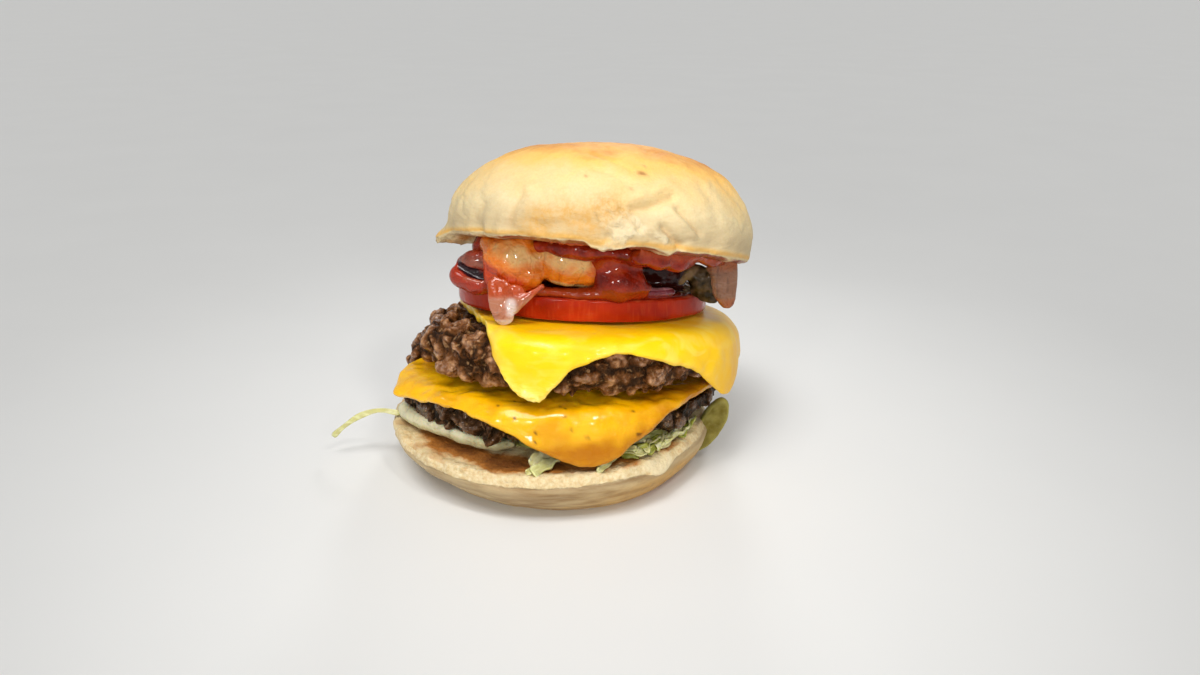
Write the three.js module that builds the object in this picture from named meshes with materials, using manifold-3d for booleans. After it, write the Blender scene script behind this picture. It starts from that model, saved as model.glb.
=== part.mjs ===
// A double cheeseburger: two bun halves, two beef patties, two cheese slices, a tomato slice, red onion,
// pickles, shredded lettuce and sauce, stacked loosely so that the layers fan open towards the front (-Y).
//
// Millimetres, +Z up. The origin is the middle of the flat underside of the lower bun half.

import * as THREE from "three";
import { mergeVertices } from "three/addons/utils/BufferGeometryUtils.js";
import Module from "manifold-3d";

const wasm = await Module();
wasm.setup();

// ---------------------------------------------------------------- driving dimensions

const GAP = 0.35; // clearance between two pieces that touch
const DISC_FACETS = 42; // facets round a bun half or a patty
const SHEET_FACETS = 50; // facets round a cheese slice

// The meeting planes of the stack. Each is a height on the Z axis, and its rise per mm along X and along Y.
// A negative rise along Y lifts the front, so the fan opens from the heel up to the crown.
const plane = (height, riseX, riseY) => (x, y) => height + riseX * x + riseY * y;
const HEEL_TOP = plane(15.3, 0, -0.02);
const LOWER_PATTY_BOTTOM = plane(18.3, 0, -0.06);
const LOWER_PATTY_TOP = plane(29.2, -0.02, -0.075);
const UPPER_PATTY_BOTTOM = plane(33.4, -0.03, -0.09);
const UPPER_PATTY_TOP = plane(48.0, -0.04, -0.175);
const TOMATO_BOTTOM = plane(51.6, -0.05, -0.18);
const TOMATO_THICKNESS = 7.4;
const TOMATO_TOP = (x, y) => TOMATO_BOTTOM(x, y) + TOMATO_THICKNESS;

const HEEL = { x: -1, y: 0, radius: 52.6, flatRadius: 37, footShiftX: 5.5, footShiftY: -4 };
const CROWN = { x: 15.3, y: 0, z: 69.9, radius: 48.4, height: 32.4, tiltBack: 17.6, rollRight: 5.5 };
const CROWN_TILT = THREE.MathUtils.degToRad(CROWN.tiltBack);
const CROWN_ROLL = THREE.MathUtils.degToRad(CROWN.rollRight);
const CROWN_RISE = { x: -Math.tan(CROWN_ROLL) / Math.cos(CROWN_TILT), y: -Math.tan(CROWN_TILT) };
const CROWN_BASE = (x, y) => CROWN.z + CROWN_RISE.x * (x - CROWN.x) + CROWN_RISE.y * (y - CROWN.y);

const LOWER_PATTY = {
  x: 3, y: 3, radiusX: 53.5, radiusY: 48, ragged: 1.7, seed: 2.1,
  top: LOWER_PATTY_TOP, bottom: LOWER_PATTY_BOTTOM,
};
const UPPER_PATTY = {
  x: 8, y: 2, radiusX: 51.5, radiusY: 47.5, ragged: 2.2, seed: 5.3,
  top: UPPER_PATTY_TOP, bottom: UPPER_PATTY_BOTTOM,
};

// A cheese slice: how far its four edges lie from the middle of its patty, the way that its front edge faces,
// how sharp its corners are, how it bends over the patty's edge, and where the melt has let it down further:
// the angle, the half width in degrees and the length of each run.
const CHEESE_THICKNESS = 2.6;
const LOWER_CHEESE = {
  front: 52, right: 52, back: 46, left: 37, facing: 235.7, sharpness: 5.6,
  bend: 4.5, hang: 75, drip: 0, dripAt: 0, runs: [], patty: LOWER_PATTY,
};
const UPPER_CHEESE = {
  front: 51.5, right: 56.5, back: 31, left: 34.5, facing: 287, sharpness: 11,
  bend: 6, hang: 86, drip: 3, dripAt: 336, patty: UPPER_PATTY,
  runs: [[249, 12, 6.5], [258, 25, 5], [300, 14, 1.5]],
};

const TOMATO = { x: 10, y: 10, radius: 41 };
const LETTUCE_BED = { x: 2, y: 0, radius: 41 };

// ---------------------------------------------------------------- small helpers

const turn = THREE.MathUtils.degToRad;
const mix = THREE.MathUtils.lerp;
const vector = (x, y, z) => new THREE.Vector3(x, y, z);
const angles = (count) => Array.from({ length: count }, (_, i) => (i / count) * 2 * Math.PI);

// A smooth uneven value from -1 to 1 round a circle.
const wobble = (angle, seed) =>
  0.5 * Math.sin(2 * angle + seed) +
  0.3 * Math.sin(3 * angle + 2.7 * seed) +
  0.2 * Math.sin(7 * angle + 4.1 * seed);

// Rounded lumps from -1 to 1 in space, about 3 sizes across each.
const lumps = (x, y, z, size) =>
  Math.sin(x / size + 1.3 * Math.sin(y / size)) * Math.cos(y / size + 1.7 * Math.sin((z + x / 2) / size));

// How much of a feature is felt at an angle: 1 at the middle, 0 beyond its half width. Degrees.
const near = (angle, middle, halfWidth) => {
  const apart = Math.abs(((THREE.MathUtils.radToDeg(angle) - middle + 540) % 360) - 180);
  return apart < halfWidth ? 0.5 + 0.5 * Math.cos((Math.PI * apart) / halfWidth) : 0;
};

const ellipseRadius = (angle, a, b) => 1 / Math.hypot(Math.cos(angle) / a, Math.sin(angle) / b);

// A closed surface through rings of points that run from the pole on its top to the pole on its underside.
function ringedSurface(topPole, rings, bottomPole) {
  const count = rings[0].length;
  const last = 1 + rings.length * count;
  const points = [topPole, ...rings.flat(), bottomPole];
  const faces = [];
  for (let i = 0; i < count; i++) {
    const next = (i + 1) % count;
    faces.push(0, 1 + i, 1 + next);
    for (let ring = 0; ring + 1 < rings.length; ring++) {
      const upper = 1 + ring * count;
      const lower = upper + count;
      faces.push(upper + i, lower + i, lower + next, upper + i, lower + next, upper + next);
    }
    const edge = last - count;
    faces.push(last, edge + next, edge + i);
  }
  return surface(points, faces);
}

// A closed tube through sections of points, each capped at its ends by a fan from the section's middle.
function sweptSurface(sections) {
  const middle = (section) =>
    section.reduce((sum, p) => sum.add(p), vector(0, 0, 0)).divideScalar(section.length);
  return ringedSurface(middle(sections[0]), sections, middle(sections.at(-1)));
}

function surface(points, faces) {
  const geometry = new THREE.BufferGeometry().setFromPoints(points).setIndex(faces);
  return signedVolume(geometry) < 0 ? turnedOut(geometry) : geometry;
}

function signedVolume(geometry) {
  const { position } = geometry.attributes;
  const corner = (i) => vector().fromBufferAttribute(position, geometry.index.getX(i));
  let volume = 0;
  for (let i = 0; i < geometry.index.count; i += 3)
    volume += corner(i).dot(corner(i + 1).cross(corner(i + 2))) / 6;
  return volume;
}

function turnedOut(geometry) {
  const { array } = geometry.index;
  for (let i = 0; i < array.length; i += 3) [array[i], array[i + 1]] = [array[i + 1], array[i]];
  return geometry;
}

// Joining and cutting. Both take and give a BufferGeometry.
function asManifold(geometry) {
  const merged = mergeVertices(geometry.clone(), 1e-3);
  return new wasm.Manifold(
    new wasm.Mesh({
      numProp: 3,
      vertProperties: merged.attributes.position.array,
      triVerts: new Uint32Array(merged.index.array),
    }),
  );
}

function asGeometry(manifold) {
  const mesh = manifold.getMesh();
  return new THREE.BufferGeometry()
    .setAttribute("position", new THREE.BufferAttribute(new Float32Array(mesh.vertProperties), 3))
    .setIndex(new THREE.BufferAttribute(new Uint32Array(mesh.triVerts), 1));
}

const joined = (...pieces) => asGeometry(pieces.map(asManifold).reduce((a, b) => a.add(b)));

function without(piece, ...cutters) {
  const left = cutters.reduce((rest, cutter) => rest.subtract(asManifold(cutter)), asManifold(piece));
  const bodies = left.decompose().sort((a, b) => b.volume() - a.volume());
  return asGeometry(bodies[0]);
}

// ---------------------------------------------------------------- bun halves

// The heel: a shallow pan of bread, flat underneath, with a low rim round its cut face.
// Its foot sits a little forward and right of its rim.
function heelSurface() {
  const rim = (angle) =>
    HEEL.radius * (1 + 0.008 * wobble(angle, 1.4)) - 1.6 * near(angle, 322, 26) - 1.2 * near(angle, 40, 40);
  // Each station: share of the rim's radius, and depth under the cut plane or its height off the table.
  const stations = [
    { share: 0.45, drop: 0.9 },
    { share: 0.8, drop: 0.8 },
    { share: 0.92, drop: 0.3 },
    { share: 0.965, drop: 0.0 },
    { share: 0.99, drop: 1.0 },
    { share: 1.0, height: 12.2 },
    { share: 0.975, height: 9.6 },
    { share: 0.925, height: 6.6 },
    { share: 0.855, height: 3.7 },
    { share: 0.79, height: 1.3 },
    { share: HEEL.flatRadius / HEEL.radius, height: 0 },
  ];
  const at = (angle, radius, height, drop) => {
    const lowered = height === undefined ? 0 : 1 - height / HEEL_TOP(0, 0);
    const x = HEEL.x + HEEL.footShiftX * lowered + radius * Math.cos(angle);
    const y = HEEL.y + HEEL.footShiftY * lowered + radius * Math.sin(angle);
    return vector(x, y, height ?? HEEL_TOP(x, y) - drop);
  };
  const rings = stations.map(({ share, drop, height }) =>
    angles(DISC_FACETS).map((angle) => {
      const radius = height === 0 ? HEEL.radius : rim(angle);
      return at(angle, share * radius, height, drop);
    }),
  );
  return ringedSurface(at(0, 0, undefined, 0.9), rings, at(0, 0, 0));
}

// The crown in its own frame: a domed lid over a flat cut face at z = 0, with a torn flap at its left end.
function crownSurface() {
  const rim = (angle) => CROWN.radius * (1 + 0.01 * wobble(angle, 3.2));
  const wallFoot = 6.9; // the height at which the side is widest
  const fullness = 2.7;
  const steepness = 1.87;
  const dome = (share) => Math.pow(1 - Math.pow(share, fullness), 1 / steepness);
  const lean = (x, y) => 1 + (0.09 * x - 0.044 * y) / CROWN.radius;
  const rings = [0.22, 0.42, 0.6, 0.75, 0.86, 0.94, 0.985].map((share) =>
    angles(DISC_FACETS).map((angle) => {
      const [x, y] = [share * rim(angle) * Math.cos(angle), share * rim(angle) * Math.sin(angle)];
      const height = wallFoot + (CROWN.height - wallFoot) * dome(share) * lean(x, y);
      return vector(x, y, height + 0.4 * lumps(x, y, height, 7));
    }),
  );
  // The side below the widest point, the lip that curls in, and the cut face.
  const skirt = [
    { share: 1.0, height: 6.5, flap: 0 },
    { share: 0.998, height: 3.6, flap: 0.3 },
    { share: 0.99, height: 1.3, flap: 0.9 },
    { share: 0.972, height: 0, flap: 1 },
    { share: 0.9, height: 0, flap: 0.4 },
    { share: 0.5, height: 0.8, flap: 0 },
  ];
  for (const { share, height, flap } of skirt)
    rings.push(
      angles(DISC_FACETS).map((angle) => {
        const torn = flap * near(angle, 184, 9);
        const radius = share * rim(angle) + 3.4 * torn;
        return vector(radius * Math.cos(angle), radius * Math.sin(angle), height - 0.8 * torn);
      }),
    );
  return ringedSurface(vector(0, 0, CROWN.height), rings, vector(0, 0, 1));
}

// ---------------------------------------------------------------- patties and cheese

const pattyRadius = (patty, angle) =>
  ellipseRadius(angle, patty.radiusX, patty.radiusY) + patty.ragged * 0.6 * wobble(angle, patty.seed);

// Ground beef pressed by hand: a thick disc with a ragged side. grow makes the cutter for its neighbours.
function pattySurface(patty, grow = 0) {
  const stations = [
    { share: 0.5, depth: 0 },
    { share: 0.8, depth: 0 },
    { share: 0.93, depth: 0.07 },
    { share: 0.985, depth: 0.23 },
    { share: 1.0, depth: 0.42 },
    { share: 0.995, depth: 0.66 },
    { share: 0.965, depth: 0.87 },
    { share: 0.9, depth: 1 },
    { share: 0.5, depth: 1 },
  ];
  const at = (x, y, depth) =>
    vector(patty.x + x, patty.y + y, mix(
      patty.top(patty.x + x, patty.y + y) + grow,
      patty.bottom(patty.x + x, patty.y + y) - grow,
      depth,
    ));
  const rings = stations.map(({ share, depth }) =>
    angles(DISC_FACETS).map((angle) => {
      const side = Math.sin(Math.PI * Math.min(1, Math.max(0, depth * 0.9 + 0.05)));
      const nominal = share * pattyRadius(patty, angle);
      const lump = lumps(nominal * Math.cos(angle), nominal * Math.sin(angle), 14 * depth, 3.6);
      const radius = nominal + grow + patty.ragged * 0.45 * side * (lump - 1) * (share > 0.9 ? 1 : 0);
      return at(radius * Math.cos(angle), radius * Math.sin(angle), depth);
    }),
  );
  return ringedSurface(at(0, 0, 0), rings, at(0, 0, 1));
}

// How far the slice reaches from the patty's middle along its own surface, at an angle.
function cheeseReach(cheese, angle) {
  const facing = turn(cheese.facing);
  const edges = [cheese.front, cheese.right, cheese.back, cheese.left];
  const shares = edges.map((edge, i) => Math.max(0, Math.cos(angle - facing - (i * Math.PI) / 2)) / edge);
  const sum = shares.reduce((total, share) => total + Math.pow(share, cheese.sharpness), 0);
  const melted = cheese.runs.reduce(
    (extra, [middle, halfWidth, length]) => extra + length * near(angle, middle, halfWidth),
    0,
  );
  return Math.pow(sum, -1 / cheese.sharpness) + melted;
}

// Where the slice's middle surface turns down over the patty at an angle, measured from the patty's middle.
function cheeseBend(cheese, angle) {
  const radius = cheese.bend + cheese.drip * near(angle, cheese.dripAt, 50);
  const wall = pattyRadius(cheese.patty, angle) + GAP + CHEESE_THICKNESS / 2;
  const start = wall - radius * Math.sin(turn(cheese.hang));
  return { radius, wall, start, end: start + radius * turn(cheese.hang) };
}

// A point of the slice's middle surface, moved off it by side times half the thickness.
function cheesePoint(cheese, angle, reach, side) {
  const { patty } = cheese;
  const half = CHEESE_THICKNESS / 2;
  const { radius: bend, wall, start, end } = cheeseBend(cheese, angle);
  const bent = Math.min(Math.max(0, reach - start) / bend, turn(cheese.hang));
  const hung = Math.max(0, reach - end);
  const out = Math.min(reach, start) + bend * Math.sin(bent) + hung * Math.cos(bent);
  const down = bend * (1 - Math.cos(bent)) + hung * Math.sin(bent);
  const radius = out + side * half * Math.sin(bent);
  const flat = Math.min(out, wall);
  const middle = patty.top(patty.x + flat * Math.cos(angle), patty.y + flat * Math.sin(angle)) + GAP + half;
  return vector(
    patty.x + radius * Math.cos(angle),
    patty.y + radius * Math.sin(angle),
    middle - down + side * half * Math.cos(bent),
  );
}

// A square slice that lies on its patty and bends down over the patty's edge wherever it reaches past it.
function cheeseSurface(cheese) {
  const ring = (station, side) =>
    angles(SHEET_FACETS).map((angle) => {
      const reach = cheeseReach(cheese, angle);
      const { start, end } = cheeseBend(cheese, angle);
      const along = [start * 0.55, start, mix(start, end, 0.4), mix(start, end, 0.75), end, reach];
      const most = [0.6, 0.86, 0.91, 0.945, 0.97, 0.985];
      const reached = station === along.length ? reach : Math.min(along[station], reach * most[station]);
      return cheesePoint(cheese, angle, reached, side);
    });
  const stations = [0, 1, 2, 3, 4, 5];
  const rings = [
    ...stations.map((station) => ring(station, 1)),
    ring(stations.length, 0),
    ...stations.toReversed().map((station) => ring(station, -1)),
  ];
  return ringedSurface(cheesePoint(cheese, 0, 0, 1), rings, cheesePoint(cheese, 0, 0, -1));
}

// ---------------------------------------------------------------- tomato, lettuce and onion under the crown

// A thick slice with its skin on the round side.
function tomatoSurface(grow = 0) {
  const half = TOMATO_THICKNESS / 2;
  const rim = (angle) => TOMATO.radius * (1 + 0.012 * wobble(angle, 0.6)) + grow;
  const stations = [[0.55, 1], [0.93, 1], [0.985, 0.9], [1, 0.3], [1, -0.4], [0.98, -0.92], [0.93, -1]];
  const at = (angle, radius, level) => {
    const [x, y] = [TOMATO.x + radius * Math.cos(angle), TOMATO.y + radius * Math.sin(angle)];
    return vector(x, y, TOMATO_BOTTOM(x, y) + half + level * (half + grow));
  };
  const rings = stations.map(([share, level]) =>
    angles(40).map((angle) => at(angle, share * rim(angle), level)),
  );
  return ringedSurface(at(0, 0, 1), rings, at(0, 0, -1));
}

// Shredded lettuce pressed flat between the heel and the lower patty, with tufts that reach out past it.
function lettuceBedSurface() {
  // Each tuft: its angle and half width in degrees, and how far it reaches.
  const tufts = [
    [264, 5, 5.5],
    [288, 6, 4.5],
    [322, 20, 6],
    [60, 18, 4],
    [120, 22, 4],
    [160, 14, 4],
  ];
  const rim = (angle) =>
    tufts.reduce(
      (radius, [middle, halfWidth, length]) => radius + length * near(angle, middle, halfWidth),
      LETTUCE_BED.radius + 1.5 * wobble(angle, 2.4),
    );
  const at = (angle, share, level) => {
    const [x, y] = [
      LETTUCE_BED.x + share * rim(angle) * Math.cos(angle),
      LETTUCE_BED.y + share * rim(angle) * Math.sin(angle),
    ];
    const floor = HEEL_TOP(x, y) - 0.2;
    const roof = LOWER_PATTY_BOTTOM(x, y) - GAP;
    return vector(x, y, mix(floor + GAP, roof, level));
  };
  const rings = [[0.6, 1], [0.93, 0.95], [1.0, 0.55], [0.93, 0.1], [0.6, 0]].map(([share, level]) =>
    angles(DISC_FACETS).map((angle) => at(angle, share, level)),
  );
  return ringedSurface(at(0, 0, 1), rings, at(0, 0, 0));
}

// A flat oval section, for sweeping strips: across and up are half sizes given as vectors.
const ovalSection = (middle, across, up, count = 8) =>
  angles(count).map((angle) => {
    const square = (value) => Math.sign(value) * Math.pow(Math.abs(value), 0.7);
    return middle
      .clone()
      .addScaledVector(across, square(Math.cos(angle)))
      .addScaledVector(up, square(Math.sin(angle)));
  });

// A strip of onion that follows an arc: part of a ring cut across the bulb. Its wall stands up between the
// heights foot(x, y) and head(x, y), so that it fits the wedge that it fills.
function onionArc({ x, y, radiusX, radiusY, from, to, wall, steps, foot, head }, grow = 0) {
  const sections = [];
  for (let i = 0; i <= steps; i++) {
    const share = i / steps;
    const angle = turn(mix(from, to, share));
    const ends = Math.min(1, Math.min(share, 1 - share) / 0.12 + 0.35);
    const outward = vector(Math.cos(angle), Math.sin(angle), 0);
    const [px, py] = [x + radiusX * Math.cos(angle), y + radiusY * Math.sin(angle)];
    const low = foot(px, py);
    const high = head(px, py);
    const middle = vector(px, py, (low + high) / 2);
    const halfHeight = ((high - low) / 2) * ends + grow;
    const across = outward.multiplyScalar((wall / 2) * ends + grow);
    sections.push(ovalSection(middle, across, vector(0, 0, halfHeight)));
  }
  return sweptSurface(sections);
}

// The thick ring of onion that props up the crown's front, left of the middle. It stands deeper at its left.
const FRONT_RING = {
  x: -1, y: -12, radiusX: 18.6, radiusY: 18, from: 150, to: 385, wall: 4.4, steps: 20,
  foot: (x, y) => TOMATO_TOP(x, y) + 0.4 + 5.2 * THREE.MathUtils.smoothstep(x, -8, 8),
  head: (x, y) => CROWN_BASE(x, y) - 1.1,
};

// A small ring of red onion, open to the right, that stands on its side and folds over the tomato's left end.
const LEFT_RING = {
  x: 0, y: 0, radiusX: 7.2, radiusY: 4.9, from: 30, to: 330, wall: 6.2, steps: 16,
  foot: () => -2.6,
  head: () => 2.6,
};
const LEFT_RING_SEAT = { x: -20.8, y: -14.5, z: 66.4, turnX: 62, turnZ: -24 };

// A flat ring segment of red onion on the tomato's right half.
const FLAT_RING = {
  x: 21, y: 2, radiusX: 26.5, radiusY: 27, from: 258, to: 312, wall: 3.4, steps: 10,
  foot: (x, y) => TOMATO_TOP(x, y) + GAP,
  head: (x, y) => TOMATO_TOP(x, y) + 3.0,
};

// A tall outer ring that closes the wedge at the back, where the crown comes down on it.
const BACK_RING = {
  x: 13, y: 11, radiusX: 32, radiusY: 27, from: 2, to: 172, wall: 3.8, steps: 22,
  foot: (x, y) => TOMATO_TOP(x, y) + GAP,
  head: (x, y) => CROWN_BASE(x, y) - 2.4,
};

// A thin inner skin of onion that hangs down: a strip from its root to its tip, wide at the root.
function hangingPetal({ path, widths, thickness, twist }) {
  const curve = new THREE.CatmullRomCurve3(path.map((p) => vector(...p)));
  const widthCurve = new THREE.CatmullRomCurve3(widths.map((width, k) => vector(k, width, 0)));
  const steps = 9;
  const sections = [];
  for (let i = 0; i <= steps; i++) {
    const share = i / steps;
    const along = curve.getTangent(share);
    const across = vector(Math.cos(turn(twist * share)), Math.sin(turn(twist * share)), 0);
    across.addScaledVector(along, -across.dot(along)).normalize();
    const through = along.clone().cross(across).normalize();
    const width = widthCurve.getPoint(share).y;
    across.multiplyScalar(width / 2);
    through.multiplyScalar(thickness / 2);
    sections.push(ovalSection(curve.getPoint(share), across, through));
  }
  return sweptSurface(sections);
}

const FRONT_PETAL = {
  path: [[-9, -32.2, 69], [-11, -34.2, 66.2], [-12, -34.8, 62.6], [-12.6, -34.6, 58.9]],
  widths: [17, 13, 9, 6.5],
  thickness: 1.5,
  twist: -14,
};
const RIGHT_PETAL = {
  path: [[54, -10, 64.2], [55.5, -11.5, 61], [56.5, -12, 57.5], [57.6, -12, 54.4]],
  widths: [11, 10, 8, 4],
  thickness: 2.4,
  twist: 20,
};

// The slice of white onion that shows under the lower patty's left front, a crescent on the heel's cut face.
const WHITE_SLICE = {
  x: 11, y: 37, radiusX: 75.7, radiusY: 75.7, from: 217, to: 254, wall: 7, steps: 18,
  foot: (x, y) => HEEL_TOP(x, y) + 0.3,
  head: (x, y) => Math.min(HEEL_TOP(x, y) + 5.4, LOWER_PATTY_BOTTOM(x, y) + 2.2),
};

// ---------------------------------------------------------------- pickles

// A round of pickle in its own frame: a thin wavy disc with a raised skin.
function pickleSurface({ radiusX, radiusY, thickness, wave }) {
  const at = (angle, share, level) => {
    const [x, y] = [share * radiusX * Math.cos(angle), share * radiusY * Math.sin(angle)];
    return vector(x, y, level * (thickness / 2) + wave * share * share * Math.sin(2 * angle + 0.6));
  };
  const stations = [[0.6, 0.8], [0.92, 1], [1, 0.2], [0.99, -0.6], [0.9, -1], [0.6, -0.8]];
  const rings = stations.map(([share, level]) => angles(22).map((angle) => at(angle, share, level)));
  return ringedSurface(at(0, 0, 0.8), rings, at(0, 0, -0.8));
}

const CHIP = { radiusX: 5.2, radiusY: 5.5, thickness: 2.6, wave: 0.4 };
const SIDE_SLICE = { radiusX: 3.3, radiusY: 9.7, thickness: 2.4, wave: 0.3 };

// ---------------------------------------------------------------- sauce and loose shred

// Sauce soaked into the crown's cut face, with one thick dollop that runs down onto the tomato.
function sauceSurface() {
  const thickness = (angle) => 1.3 + 2.4 * near(angle, 292, 42);
  const rim = (angle) =>
    37 +
    3.5 * wobble(angle, 1.9) +
    7.5 * near(angle, 300, 55) +
    4 * near(angle, 342, 22) +
    3 * near(angle, 235, 30);
  const at = (angle, share, level) => {
    const x = CROWN.x - 1 + share * rim(angle) * Math.cos(angle);
    const y = CROWN.y - 1 + share * rim(angle) * Math.sin(angle);
    return vector(x, y, CROWN_BASE(x, y) - GAP - 0.35 - share * thickness(angle) * (1 - level));
  };
  const rings = [[0.6, 1], [0.95, 0.9], [1, 0.5], [0.94, 0.05], [0.6, 0]].map(([share, level]) =>
    angles(30).map((angle) => at(angle, share, level)),
  );
  const smear = ringedSurface(at(0, 0, 1), rings, at(0, 0, 0));
  const dollop = new THREE.SphereGeometry(1, 12, 8);
  dollop.deleteAttribute("normal");
  dollop.deleteAttribute("uv");
  dollop.rotateX(Math.PI / 2).scale(7.6, 7.4, 9.4).translate(22.5, -23.5, 71.2);
  const crownSpace = new THREE.BoxGeometry(130, 130, 60).translate(0, 0, 30 - 2 * GAP);
  crownSpace.rotateY(CROWN_ROLL).rotateX(-CROWN_TILT).translate(CROWN.x, CROWN.y, CROWN.z);
  crownSpace.deleteAttribute("normal");
  crownSpace.deleteAttribute("uv");
  return without(joined(smear, mergeVertices(dollop, 1e-4)), crownSpace);
}

// One long shred of lettuce that sticks out on the left.
function looseShredSurface() {
  const curve = new THREE.CatmullRomCurve3([
    vector(-49.5, -9.5, 17.6),
    vector(-54, -9.5, 18.0),
    vector(-59, -8.8, 17.0),
    vector(-64.5, -8, 14.2),
    vector(-70, -7.2, 10.2),
    vector(-73.5, -7, 7.2),
  ]);
  const steps = 16;
  const sections = [];
  for (let i = 0; i <= steps; i++) {
    const share = i / steps;
    const along = curve.getTangent(share);
    const across = vector(0, 1, 0).addScaledVector(along, -along.y).normalize();
    const up = along.clone().cross(across).normalize();
    const size = mix(1.0, 0.45, share);
    across.multiplyScalar(0.75 * size);
    up.multiplyScalar(0.5 * size);
    sections.push(ovalSection(curve.getPoint(share), across, up, 6));
  }
  return sweptSurface(sections);
}

// ---------------------------------------------------------------- the model

const looks = {
  bun: { color: 0xf0d8a0, roughness: 0.75 },
  beef: { color: 0x5f3d2c, roughness: 0.55 },
  cheeseUpper: { color: 0xf9c400, roughness: 0.3 },
  cheeseLower: { color: 0xeaa400, roughness: 0.3 },
  tomato: { color: 0xb8261a, roughness: 0.3 },
  onion: { color: 0xd9a08c, roughness: 0.25 },
  whiteOnion: { color: 0xcfd3b4, roughness: 0.35 },
  pickle: { color: 0x87903f, roughness: 0.35 },
  lettuce: { color: 0xbccf7a, roughness: 0.5 },
  sauce: { color: 0xa8301a, roughness: 0.2 },
};

const burger = new THREE.Group();

function addPiece(name, geometry, look, parent = burger) {
  const mesh = new THREE.Mesh(geometry, new THREE.MeshStandardMaterial({ ...looks[look], metalness: 0 }));
  mesh.name = name;
  parent.add(mesh);
  return mesh;
}

function placed(mesh, x, y, z, turnX, turnY, turnZ) {
  mesh.position.set(x, y, z);
  mesh.rotation.set(turn(turnX), turn(turnY), turn(turnZ));
}

const bread = addPiece("bun_crown", crownSurface(), "bun");
placed(bread, CROWN.x, CROWN.y, CROWN.z, -CROWN.tiltBack, CROWN.rollRight, 0);
addPiece("bun_heel", heelSurface(), "bun");

addPiece("patty_lower", pattySurface(LOWER_PATTY), "beef");
addPiece("patty_upper", pattySurface(UPPER_PATTY), "beef");
addPiece("cheese_lower", cheeseSurface(LOWER_CHEESE), "cheeseLower");
addPiece("cheese_upper", cheeseSurface(UPPER_CHEESE), "cheeseUpper");

const seatedLeft = (geometry) =>
  geometry
    .rotateZ(turn(LEFT_RING_SEAT.turnZ))
    .rotateX(turn(LEFT_RING_SEAT.turnX))
    .translate(LEFT_RING_SEAT.x, LEFT_RING_SEAT.y, LEFT_RING_SEAT.z);
const tomatoSpace = tomatoSurface(GAP);
const frontRingSpace = onionArc(FRONT_RING, GAP);
const leftRingSpace = seatedLeft(onionArc(LEFT_RING, GAP));
const flatRingSpace = onionArc(FLAT_RING, GAP);
const whiteSliceSpace = onionArc(WHITE_SLICE, GAP);
const aheadOfWhiteSlice = onionArc({ ...WHITE_SLICE, radiusX: 90, radiusY: 90, wall: 22 });
const leftRing = without(seatedLeft(onionArc(LEFT_RING)), frontRingSpace, tomatoSpace);
const flatRing = without(onionArc(FLAT_RING), frontRingSpace);
const backRing = without(onionArc(BACK_RING), frontRingSpace, leftRingSpace, flatRingSpace);
const sauce = without(sauceSurface(), frontRingSpace, leftRingSpace, flatRingSpace, tomatoSpace);

addPiece("tomato_slice", tomatoSurface(), "tomato");
addPiece("onion_ring_front", onionArc(FRONT_RING), "onion");
addPiece("onion_ring_left", leftRing, "onion");
addPiece("onion_ring_right", flatRing, "onion");
addPiece("onion_ring_back", backRing, "onion");
addPiece("onion_petal_front", hangingPetal(FRONT_PETAL), "onion");
addPiece("onion_petal_right", hangingPetal(RIGHT_PETAL), "onion");
addPiece("onion_slice_lower", without(onionArc(WHITE_SLICE), pattySurface(LOWER_PATTY, GAP)), "whiteOnion");
addPiece("sauce", sauce, "sauce");

placed(addPiece("pickle_chip", pickleSurface(CHIP), "pickle"), 47.6, -14.2, 63.4, 58, 0, 10);
placed(addPiece("pickle_slice_side", pickleSurface(SIDE_SLICE), "pickle"), 56.3, -9.5, 11.8, 86, 8, -20);

addPiece("lettuce_bed", without(lettuceBedSurface(), whiteSliceSpace, aheadOfWhiteSlice), "lettuce");
addPiece("lettuce_shred_left", without(looseShredSurface(), whiteSliceSpace), "lettuce");

export default burger;
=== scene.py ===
"""How a double cheeseburger looks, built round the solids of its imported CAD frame.

Each solid is replaced by a finer mesh. Bread, cheese, tomato and the side pickle are their solids subdivided
and pushed about, and meat is its solid with lumps added. The front, left and hanging onions, the dark pickle
and the sauce are soft strands run together to one skin, with stops of their own, so these are near their
solids' places rather than in them.

Points and texture sizes are in millimetres in the part's own frame, and turn into metres only where a mesh,
a light or the camera is placed.
"""

import math

import bmesh
import bpy
import numpy as np
from mathutils import Euler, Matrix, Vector
from mathutils.bvhtree import BVHTree
from mathutils.kdtree import KDTree


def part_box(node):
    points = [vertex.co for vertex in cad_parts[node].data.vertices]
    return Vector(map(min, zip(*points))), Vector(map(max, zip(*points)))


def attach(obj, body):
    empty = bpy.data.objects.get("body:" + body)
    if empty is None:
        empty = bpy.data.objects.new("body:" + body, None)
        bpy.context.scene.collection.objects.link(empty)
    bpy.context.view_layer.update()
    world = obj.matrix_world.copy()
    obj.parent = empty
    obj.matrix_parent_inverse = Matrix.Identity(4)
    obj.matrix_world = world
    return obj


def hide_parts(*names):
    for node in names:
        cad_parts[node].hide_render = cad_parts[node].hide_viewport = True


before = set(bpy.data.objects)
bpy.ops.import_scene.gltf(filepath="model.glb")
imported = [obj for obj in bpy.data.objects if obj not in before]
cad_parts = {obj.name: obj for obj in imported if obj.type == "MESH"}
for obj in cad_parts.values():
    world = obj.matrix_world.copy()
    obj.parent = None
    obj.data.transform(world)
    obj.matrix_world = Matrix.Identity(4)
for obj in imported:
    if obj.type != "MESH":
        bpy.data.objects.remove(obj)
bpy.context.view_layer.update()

MM = 0.001
UP = np.array((0.0, 0.0, 1.0))

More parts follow.
